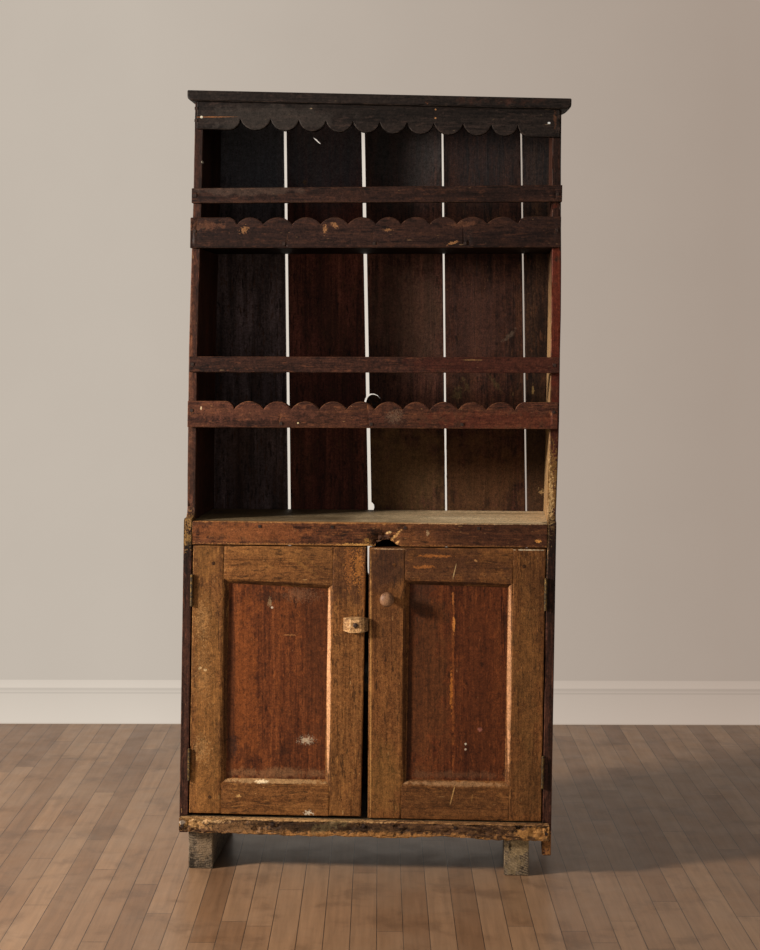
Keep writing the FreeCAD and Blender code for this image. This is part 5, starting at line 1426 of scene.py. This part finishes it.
LEFT_MARKS = {
    "hinge_stile": spots(BEVEL, 0.006,
        (-0.3565, 0.456, 0.0065, 0.26, BEVEL_SHADE, 0.85, 0.05)) + spots(FACE, 0.03,
        (-0.415, 0.6, 0.014, 0.035, "b88c5c", 0.45, 1.9, 280.0),
        (-0.4239, 0.6135, 0.009, 0.004, "1c0f08", 0.85, 1.5, 300.0),
        (-0.415, 0.598, 0.009, 0.004, "1c0f08", 0.8, 1.7, 300.0, 35.0),
        (-0.419, 0.4855, 0.0035, 0.0035, "e0c090", 0.8, 0.9, 250.0),
        (-0.4068, 0.4808, 0.0035, 0.0035, "e0c090", 0.8, 0.9, 250.0),
        (-0.413, 0.47, 0.014, 0.05, "b88c5c", 0.3, 2.2, 280.0),
        (-0.4115, 0.3115, 0.008, 0.006, "1c0f08", 0.8, 1.2, 260.0),
        (-0.4188, 0.2823, 0.004, 0.005, "1c0f08", 0.8, 1.0, 260.0),
        (-0.413, 0.29, 0.014, 0.025, "b89060", 0.4, 2.0, 240.0),
        (-0.4, 0.45, 0.03, 0.4, "8f6230", 0.35, 0.8, 15.0)),
    "lock_stile": spots(BEVEL, 0.006,
        (-0.107, 0.452, 0.006, 0.238, BEVEL_WEAR_AND_HIGHLIGHT, 0.95, 0.12, 90.0, 0.0, 0.1)) + spots(FACE, 0.03,
        (-0.055, 0.725, 0.055, 0.07, "3a2116", 0.8, 0.9, 40.0, 0.0, 0.5),
        (-0.0586, 0.735, 0.008, 0.045, "b06c34", 0.5, 1.9, 260.0),
        (-0.037, 0.735, 0.01, 0.035, "c07a38", 0.6, 1.9, 260.0),
        (-0.02, 0.69, 0.008, 0.04, "a8662e", 0.5, 1.9, 240.0),
        (-0.085, 0.56, 0.012, 0.014, "2a170c", 0.6, 1.5, 120.0)),
    "top_rail": spots(BEVEL, 0.006,
        (-0.2305, 0.6923, 0.125, 0.006, BEVEL_SHADE, 0.85, 0.15, 90.0)) + spots(FACE, 0.03,
        (-0.1646, 0.7322, 0.03, 0.004, "a07038", 0.4, 1.7, 240.0, -35.0),
        (-0.15, 0.745, 0.026, 0.003, "a07038", 0.4, 1.7, 240.0, -35.0),
        (-0.12, 0.74, 0.05, 0.05, "4a2c18", 0.5, 1.0, 40.0, 0.0, 0.5)),
    "bottom_rail": spots(BEVEL, 0.008,
        (-0.2371, 0.2143, 0.125, 0.006, "a8845a", 0.85, 0.6, 90.0),
        # small pale spot on the up-facing bevel: painted highlight
        (-0.27, 0.2125, 0.016, 0.0035, "f0d8b0", 0.9, 0.9, 200.0)) + spots(FACE, 0.03,
        (-0.325, 0.178, 0.006, 0.003, "d8a868", 0.8, 0.8, 200.0),
        (-0.1541, 0.1401, 0.009, 0.005, "e0cfb4", 0.9, 1.4, 200.0)),
    "panel": spots(SUNK, 0.03,
        (-0.3134, 0.456, 0.035, 0.22, "8a4a20", 0.5, 0.9, 30.0),
        (-0.135, 0.5, 0.035, 0.2, "4c2814", 0.6, 0.9, 30.0)) + spots(SUNK, 0.02,
        (-0.2505, 0.662, 0.034, 0.014, "1c120c", 0.6, 1.2, 90.0),
        (-0.1778, 0.664, 0.034, 0.014, "8a6a50", 0.3, 1.9, 300.0),
        (-0.2505, 0.645, 0.004, 0.009, "b89870", 0.5, 1.9, 330.0),
        (-0.2456, 0.6322, 0.0028, 0.0028, "e0cab0", 1.0, 0.1),
        (-0.2018, 0.5664, 0.016, 0.0018, "b87c48", 0.6, 0.9, 160.0),
        (-0.16, 0.3125, 0.014, 0.008, "e0c8a8", 0.7, 1.8, 330.0),
        (-0.145, 0.306, 0.01, 0.006, "20120a", 0.7, 1.7, 280.0),
        (-0.2172, 0.2836, 0.014, 0.008, "20120a", 0.5, 1.0, 120.0),
        (-0.34, 0.295, 0.012, 0.022, "3a2820", 0.6, 1.4, 150.0),
        (-0.23, 0.232, 0.13, 0.01, "8a6444", 0.6, 1.0, 60.0, 0.0, 0.6),
        # dark strip down the panel's left edge: painted shadow of the stile
        (-0.345, 0.456, 0.01, 0.24, "200f07", 0.75, 0.2, 60.0)),
    "pegs": spots(FACE, 0.1,
        (-0.39, 0.735, 0.03, 0.03, PEG_DARK, 1.0, 0.0),
        (-0.39, 0.18, 0.03, 0.03, PEG_DARK, 1.0, 0.0)),
}
RIGHT_MARKS = {
    "hinge_stile": spots(BEVEL, 0.006,
        (0.3258, 0.455, 0.006, 0.238, BEVEL_WEAR_AND_DIM_HIGHLIGHT, 0.9, 0.12, 90.0, 0.0, 0.1)) + spots(FACE, 0.03,
        (0.3703, 0.23, 0.05, 0.1, "4a3218", 0.5, 0.9, 30.0, 0.0, 0.5),
        (0.365, 0.5, 0.03, 0.2, "6a4824", 0.5, 0.9, 30.0, 0.0, 0.5),
        (0.369, 0.7785, 0.043, 0.0014, "e0cba8", 0.8, 0.9, 160.0)),
    "lock_stile": spots(BEVEL, 0.006,
        (0.0737, 0.451, 0.0065, 0.26, BEVEL_SHADE, 0.85, 0.05)) + spots(FACE, 0.03,
        (0.0325, 0.735, 0.065, 0.055, "2a1a16", 0.95, 0.5, 30.0, 0.0, 0.5),
        (0.0335, 0.6, 0.04, 0.08, "4a2c18", 0.5, 0.8, 30.0, 0.0, 0.5),
        (-0.0063, 0.415, 0.0022, 0.34, "c08a50", 0.9, 0.3, 60.0),
        (0.035, 0.7775, 0.041, 0.0014, "c8a078", 0.8, 1.0, 160.0),
        (0.0086, 0.485, 0.004, 0.004, "1c0f08", 0.8, 0.8, 200.0),
        (0.03, 0.22, 0.04, 0.08, "85602f", 0.4, 0.8, 30.0, 0.0, 0.5)),
    "top_rail": spots(BEVEL, 0.006,
        (0.2025, 0.6972, 0.125, 0.006, BEVEL_SHADE, 0.85, 0.15, 90.0)) + spots(FACE, 0.03,
        (0.17, 0.74, 0.13, 0.05, "40261a", 0.75, 0.8, 30.0, 0.0, 0.5),
        (0.1475, 0.762, 0.036, 0.003, "b06a30", 0.7, 1.0, 140.0),
        (0.1237, 0.7353, 0.024, 0.004, "b06a30", 0.7, 1.1, 140.0),
        (0.1942, 0.7254, 0.0013, 0.017, "c0a070", 0.9, 0.4, 60.0, -13.0),
        (0.245, 0.752, 0.004, 0.003, "c89058", 0.8, 0.8, 200.0)),
    "bottom_rail": spots(BEVEL, 0.008,
        (0.1964, 0.2155, 0.125, 0.006, "9a7450", 0.85, 0.6, 90.0)) + spots(FACE, 0.03,
        (0.1906, 0.1904, 0.0014, 0.025, "d8a868", 0.9, 0.4, 60.0, -14.0),
        (0.237, 0.183, 0.001, 0.009, "b88848", 0.8, 0.4, 60.0, -8.0),
        (0.19, 0.16, 0.14, 0.04, "4e3018", 0.55, 0.9, 30.0, 0.0, 0.5)),
    "panel": spots(SUNK, 0.02,
        (0.1915, 0.44, 0.003, 0.2, "a05828", 0.5, 0.9, 60.0),
        (0.1925, 0.5957, 0.003, 0.02, "e09048", 0.8, 0.8, 150.0),
        (0.187, 0.44, 0.003, 0.045, "c87830", 0.7, 1.0, 150.0),
        (0.1905, 0.655, 0.0025, 0.02, "b87038", 0.7, 0.9, 150.0)) + spots(SUNK, 0.03,
        (0.125, 0.46, 0.055, 0.22, "4a2f18", 0.6, 0.8, 30.0, 0.0, 0.5),
        (0.105, 0.665, 0.034, 0.04, "2a1c16", 0.6, 1.2, 60.0, 0.0, 0.5)) + spots(SUNK, 0.02,
        # dark strip down the panel's left edge: painted shadow of the stile
        (0.085, 0.45, 0.008, 0.24, "1c0d06", 0.75, 0.2, 60.0)) + spots(SUNK, 0.03,
        (0.26, 0.45, 0.05, 0.2, "5a2c14", 0.5, 0.9, 30.0)) + spots(SUNK, 0.02,
        (0.1813, 0.4732, 0.004, 0.008, "120a06", 0.8, 0.9, 160.0),
        (0.2602, 0.5032, 0.004, 0.007, "120a06", 0.8, 0.9, 160.0),
        (0.2212, 0.3107, 0.0028, 0.0028, "d8c8b0", 0.95, 0.4, 200.0),
        (0.2212, 0.2973, 0.0026, 0.0026, "c8b098", 0.95, 0.4, 200.0),
        (0.2558, 0.3449, 0.005, 0.005, "a86858", 0.7, 0.6, 160.0),
        (0.2, 0.236, 0.11, 0.008, "6a4a34", 0.5, 1.0, 60.0, 0.0, 0.6)),
    "pegs": (
        Mark((0.355, FACE, 0.735), (0.03, 0.1, 0.03), PEG_DARK, 1.0, 0.0),
    ),
}


@dataclass
class Ironwork:
    """Nails, case leaves, pins and screws."""

    nail_groups: tuple[str, ...] = (
        "top", "frieze", "plate_rail", "scalloped_front", "counter_rail", "base_rail", "back")
    nail_softness: float = 0.0009

    def build(self) -> None:
        """Dress the ironwork of the case."""
        for group in self.nail_groups:
            nails = NAIL_IRON.material(f"{group}_nails", seed_of(group))
            dress_node(f"{group}_nails", nails, self.nail_softness)
        for side in ("left", "right"):
            for height in ("upper", "lower"):
                leaf = f"{side}_{height}_hinge_case_leaf"
                dress_node(leaf, OLD_BRASS.material(leaf, 5.0), LEAF_SOFTNESS)
        dress_node("hinge_pins", OLD_BRASS.material("hinge_pins", 6.0))
        dress_node("hinge_case_screws", SCREW_IRON.material("hinge_case_screws", 7.0))


@dataclass
class Catches:
    """Turn button with its pivot screw, and the turned knob."""

    button_tone: Place = (2.0, 2.1, 2.3)
    knob_sides: int = 48
    knob_shift: tuple[float, float] = (0.002, 0.003)
    knob_profile: tuple[tuple[float, float], ...] = (
        (-0.0215, 0.0055), (-0.0005, 0.0055), (0.0, 0.0102), (0.0022, 0.0105), (0.0036, 0.0092),
        (0.0046, 0.0078),
        (0.0095, 0.0078), (0.0125, 0.0096), (0.0155, 0.0128), (0.0190, 0.0156), (0.0225, 0.0171),
        (0.0260, 0.0174),
        (0.0295, 0.0166), (0.0325, 0.0146), (0.0350, 0.0114), (0.0367, 0.0075), (0.0376, 0.0035),
        (0.0378, 0.0006))

    def build(self) -> None:
        """Build the button and the knob."""
        button = Wear(rounding=0.0009, chips=0.002, chip_level=0.2, step=0.006, band=0.002, inner=0.004)
        marks = (
            # darker right-hand end, the bevel that faces away from the lamp: painted shade
            Mark((-0.0125, -0.165, 0.596), (0.0085, 0.05, 0.05), "4e3824", 0.9, 0.1, softness=0.1),
            Mark((-0.0375, -0.1686, 0.596), (0.0085, 0.01, 0.0085), "3c2818", 0.75, 0.7, 240.0),
            Mark((-0.050, -0.1686, 0.612), (0.03, 0.01, 0.003), "5a4028", 0.6, 0.5, 120.0),
        )
        finish = BUTTON_WOOD.toned(*self.button_tone)
        report(WornBoard(BoardPlan("turn_button", finish, "button_wood", Along.WIDTH, button, marks)).build())
        dress_node("button_pivot", SCREW_IRON.material("button_pivot", 8.0), 0.0004)
        report(self.knob())

    def knob(self) -> bpy.types.Object:
        """Turned knob with a collar and a neck.

        Returns:
            The piece, riding on the right door in place of its node.
        """
        low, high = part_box("door_knob")
        middle_x = (low[0] + high[0]) / 2 + self.knob_shift[0]
        middle_z = (low[2] + high[2]) / 2 + self.knob_shift[1]
        mesh = bmesh.new()
        rings = []
        turns = [2 * math.pi * i / self.knob_sides for i in range(self.knob_sides)]
        for proud, radius in self.knob_profile:
            rings.append([mesh.verts.new((middle_x + radius * math.cos(turn), FACE - proud,
                                          middle_z + radius * math.sin(turn))) for turn in turns])
        loft(mesh, rings)
        mesh.faces.new(rings[0][::-1])
        mesh.faces.new(rings[-1])
        bmesh.ops.recalc_face_normals(mesh, faces=mesh.faces[:])
        for face in mesh.faces:
            face.smooth = True
        made = shown_mesh("turned_knob", mesh)
        made.data.materials.append(KNOB_WOOD.material("door_knob", Along.HEIGHT, 4.0))
        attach(made, Body.RIGHT_DOOR.value)
        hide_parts("door_knob")
        return made


@dataclass
class Inside:
    """Shelf and cleats behind the doors."""

    shelf_wear: Wear = Wear(step=0.06)

    def build(self) -> None:
        """Build the inner shelf and dress its cleats."""
        report(WornBoard(BoardPlan("inner_shelf", INNER_PINE, "shelf_pine", Along.WIDTH,
                                   self.shelf_wear)).build())
        dress_node("shelf_cleats", INNER_PINE.material("shelf_cleats", Along.DEPTH, 9.0), 0.001)


# ------------------------------------------------------------------ studio and room
ROOM_TURN = 3.808


@dataclass
class Studio:
    """Camera, lamp and surroundings."""

    eye: Place = (0.28234, -4.16846, 1.27558)
    turn: float = ROOM_TURN
    tilt: float = -0.523
    roll: float = 0.106
    lens: float = 63.79
    sensor: float = 36.0
    shift: float = -0.125
    pale: str = "c4b6a8"
    ambient: float = 0.24
    ambient_tint: Colour = (1.0, 0.97, 0.93, 1.0)
    lamp_place: Place = (-3.2, -1.46, 1.76)
    lamp_aim: Place = (0.0, -0.12, 0.75)
    lamp_power: float = 215.0
    lamp_size: float = 0.5
    lamp_tint: Place = (1.0, 0.93, 0.84)

    def build(self) -> None:
        """Set up the camera and the light."""
        self.camera()
        self.lamp()
        self.surroundings()
        bpy.context.scene.view_settings.view_transform = "Standard"

    def camera(self) -> None:
        """Place the camera."""
        data = bpy.data.cameras.new("camera")
        data.lens = self.lens
        data.sensor_width = self.sensor
        data.shift_y = self.shift
        made = new_object("camera", data)
        bpy.context.scene.camera = made
        turn = Matrix.Rotation(math.radians(self.turn), 4, "Z")
        tilt = Matrix.Rotation(math.radians(90.0 + self.tilt), 4, "X")
        roll = Matrix.Rotation(math.radians(self.roll), 4, "Z")
        made.matrix_world = Matrix.Translation(Vector(self.eye)) @ turn @ tilt @ roll

    def lamp(self) -> None:
        """One low lamp at the left, near enough to fall off across the front."""
        data = bpy.data.lights.new("key", "AREA")
        data.shape = "DISK"
        data.size = self.lamp_size
        data.energy = self.lamp_power
        data.color = self.lamp_tint
        made = new_object("key", data)
        made.location = self.lamp_place
        made.rotation_mode = "QUATERNION"
        made.rotation_quaternion = (Vector(self.lamp_place) - Vector(self.lamp_aim)).to_track_quat("Z", "Y")

    def surroundings(self) -> None:
        """Even light all round, and a pale background."""
        world = bpy.data.worlds.new("surroundings")
        world.use_nodes = True
        bpy.context.scene.world = world
        graph = Graph(world.node_tree)
        world.node_tree.nodes.clear()
        light = graph.node("ShaderNodeBackground", {0: self.ambient_tint, 1: self.ambient})
        seen = graph.node("ShaderNodeBackground", {0: linear(self.pale), 1: 1.0})
        both = graph.node("ShaderNodeMixShader", {0: graph.looked_at(), 1: light.outputs[0],
                                                  2: seen.outputs[0]})
        graph.node("ShaderNodeOutputWorld", {0: both.outputs[0]})


@dataclass
class Room:
    """Wall with its skirting board, and an old boarded floor."""

    turn: float = ROOM_TURN
    wall_place: Place = (-0.0864, 1.4057, 0.0)
    # colours at the two ends of the wall: painted light, lighter on the lamp's side and darker away from it
    wall_painted_lit_end: str = "d5c9bb"
    wall_painted_shaded_end: str = "b7a698"
    wall_painted_falloff: tuple[float, float] = (-0.81, 1.15)
    # greys up the skirting board: its white paint with painted shade lines along the moulding
    skirting: tuple[tuple[float, str], ...] = (
        (0.0, "e4e0dc"), (0.02, "ffffff"), (0.40, "f6f6f6"), (0.415, "e2e2e2"), (0.43, "f6f6f6"),
        (0.47, "e6e6e6"),
        (0.49, "ffffff"), (0.585, "fafafa"), (0.59, "e9e9e9"))
    skirting_reach: float = 0.25
    # pale rectangle on the wall behind the cupboard, seen through its gaps: painted light
    painted_light_patch: str = "dfd4c7"
    patch_half: tuple[float, float] = (0.48, 0.84)
    patch_height: float = 1.25
    plank_width: float = 0.057
    plank_length: float = 0.95

    def build(self) -> None:
        """Build the wall and the floor."""
        wall = self.sheet("wall", [(-12, 0, 0), (12, 0, 0), (12, 0, 6), (-12, 0, 6)], self.wall_material())
        wall.location = self.wall_place
        wall.rotation_euler = (0.0, 0.0, math.radians(self.turn))
        floor = self.sheet("floor", [(-20, -20, 0), (20, -20, 0), (20, 20, 0), (-20, 20, 0)],
                           self.floor_material())
        floor.rotation_euler = (0.0, 0.0, math.radians(self.turn))

    def sheet(self, name: str, corners: list[Place], material: bpy.types.Material) -> bpy.types.Object:
        """Flat sheet with a material.

        Args:
            name: its name.
            corners: its corners in order.
            material: its finish.

        Returns:
            The new object.
        """
        data = bpy.data.meshes.new(name)
        data.from_pydata(corners, [], [tuple(range(len(corners)))])
        data.materials.append(material)
        return new_object(name, data)

    def wall_material(self) -> bpy.types.Material:
        """Painted wall, which lets light pass and is seen from its front alone. Its glowing colour carries
        painted light: lighter towards the lamp, a pale patch behind the cupboard and shade lines along the
        skirting.
        """
        made, graph = new_material("painted_wall")
        where = graph.node("ShaderNodeTexCoord").outputs["Object"]
        across, _, height = graph.node("ShaderNodeSeparateXYZ", {0: where}).outputs
        # Across the wall the colour fades from the lamp's side to the far side: painted light and shade.
        start, end = self.wall_painted_falloff
        share = graph.spread(across, 0.0, 1.0, start, end)
        tone = graph.mix(share, linear(self.wall_painted_lit_end), linear(self.wall_painted_shaded_end))
        # The skirting's greys multiply the wall colour: white paint with painted shade lines.
        up = graph.math("DIVIDE", height, self.skirting_reach)
        moulding = graph.ramp(up, [(place, linear(code)) for place, code in self.skirting])
        colour = graph.mix(1.0, tone, moulding, "MULTIPLY")
        # Pale rectangle behind the cupboard: painted light.
        from_middle = graph.math("SUBTRACT", height, self.patch_height)
        sides = [graph.math("DIVIDE", graph.math("ABSOLUTE", value), half)
                 for value, half in zip((across, from_middle), self.patch_half)]
        outside = graph.step(graph.math("MAXIMUM", *sides), 0.72, 1.0)
        colour = graph.mix(outside, linear(self.painted_light_patch), colour)
        colour = graph.vary(colour, graph.noise(where, 3.0, 5.0), 0.03, 0.0, 1.0)
        front = graph.math("SUBTRACT", 1.0, graph.node("ShaderNodeNewGeometry").outputs["Backfacing"])
        shown = graph.math("MULTIPLY", front, graph.looked_at())
        clear = graph.node("ShaderNodeBsdfTransparent")
        paint = graph.node("ShaderNodeEmission", {0: colour, 1: 1.0})
        both = graph.node("ShaderNodeMixShader", {0: shown, 1: clear.outputs[0], 2: paint.outputs[0]})
        graph.node("ShaderNodeOutputMaterial", {0: both.outputs[0]})
        return made

    def floor_material(self) -> bpy.types.Material:
        """Worn narrow boards, and a pale floor for the light that falls on the cupboard."""
        made, graph = new_material("old_floor")
        where = graph.node("ShaderNodeTexCoord").outputs["Object"]
        across, along, _ = graph.node("ShaderNodeSeparateXYZ", {0: where}).outputs
        row = graph.math("FLOOR", graph.math("DIVIDE", across, self.plank_width))
        shift = graph.node("ShaderNodeTexWhiteNoise", {"W": row}, noise_dimensions="1D").outputs[0]
        slid = graph.math("ADD", along, graph.math("MULTIPLY", shift, self.plank_length))
        laid = graph.node("ShaderNodeCombineXYZ", {0: slid, 1: across}).outputs[0]
        planks = graph.node("ShaderNodeTexBrick", {
            "Vector": laid, "Color1": linear("75553c"), "Color2": linear("957356"),
            "Mortar": linear("3a2a1e"),
            "Scale": 1.0, "Mortar Size": 0.0011, "Mortar Smooth": 0.4, "Brick Width": self.plank_length,
            "Row Height": self.plank_width}, offset=0.0)
        drawn = graph.vector("MULTIPLY", where, (60.0, 3.0, 1.0))
        colour = graph.vary(planks.outputs["Color"], graph.noise(drawn, 1.0, 5.0, 0.7), 0.22)
        dust = graph.group(PATCHES.tree(), {"Vector": where, "Scale": 3.0, "Share": 0.4, "Softness": 0.2})
        colour = graph.mix(graph.math("MULTIPLY", dust.outputs[0], 0.35), colour, linear("9a8068"))
        # random darker patches of grime on the floor boards
        grime_and_underside_shade = graph.group(PATCHES.tree(), {"Vector": where, "Seed": 5.0, "Scale": 9.0, "Share": 0.3,
                                             "Softness": 0.1})
        colour = graph.mix(graph.math("MULTIPLY", grime_and_underside_shade.outputs[0], 0.4), colour, linear("4e3828"))
        rough = graph.spread(graph.noise(where, 12.0, 4.0), 0.22, 0.5)
        bump = graph.node("ShaderNodeBump", {"Height": planks.outputs["Fac"], "Distance": -0.001,
                                             "Strength": 0.5})
        boards = graph.node("ShaderNodeBsdfPrincipled", {"Base Color": colour, "Roughness": rough,
                                                         "Specular IOR Level": 0.4,
                                                         "Normal": bump.outputs[0]})
        tone = graph.mix(graph.noise(where, 1.6, 4.0), linear("c9c1b4"), linear("d8d0c4"))
        matt = graph.node("ShaderNodeBsdfDiffuse", {0: tone})
        both = graph.node("ShaderNodeMixShader", {0: graph.looked_at(), 1: matt.outputs[0],
                                                  2: boards.outputs[0]})
        graph.node("ShaderNodeOutputMaterial", {0: both.outputs[0]})
        return made


def report(piece: bpy.types.Object) -> None:
    """Log a finished piece."""
    LOG.info("built %s with %d faces", piece.name, len(piece.data.polygons))


def main() -> None:
    """Build the cupboard's looks in order."""
    logging.basicConfig(level=logging.INFO, format="%(name)s: %(message)s")
    Studio().build()
    Room().build()
    Case().build()
    Shelves().build()
    Waist().build()
    Base().build()
    # The doors share one finish, toned darker on the right door: painted shade.
    PanelDoor("left", (0.96, 0.93, 0.93), LEFT_MARKS).build()
    PanelDoor("right", (0.80, 0.74, 0.74), RIGHT_MARKS).build()
    Ironwork().build()
    Catches().build()
    Inside().build()


if __name__ == "__main__":
    main()
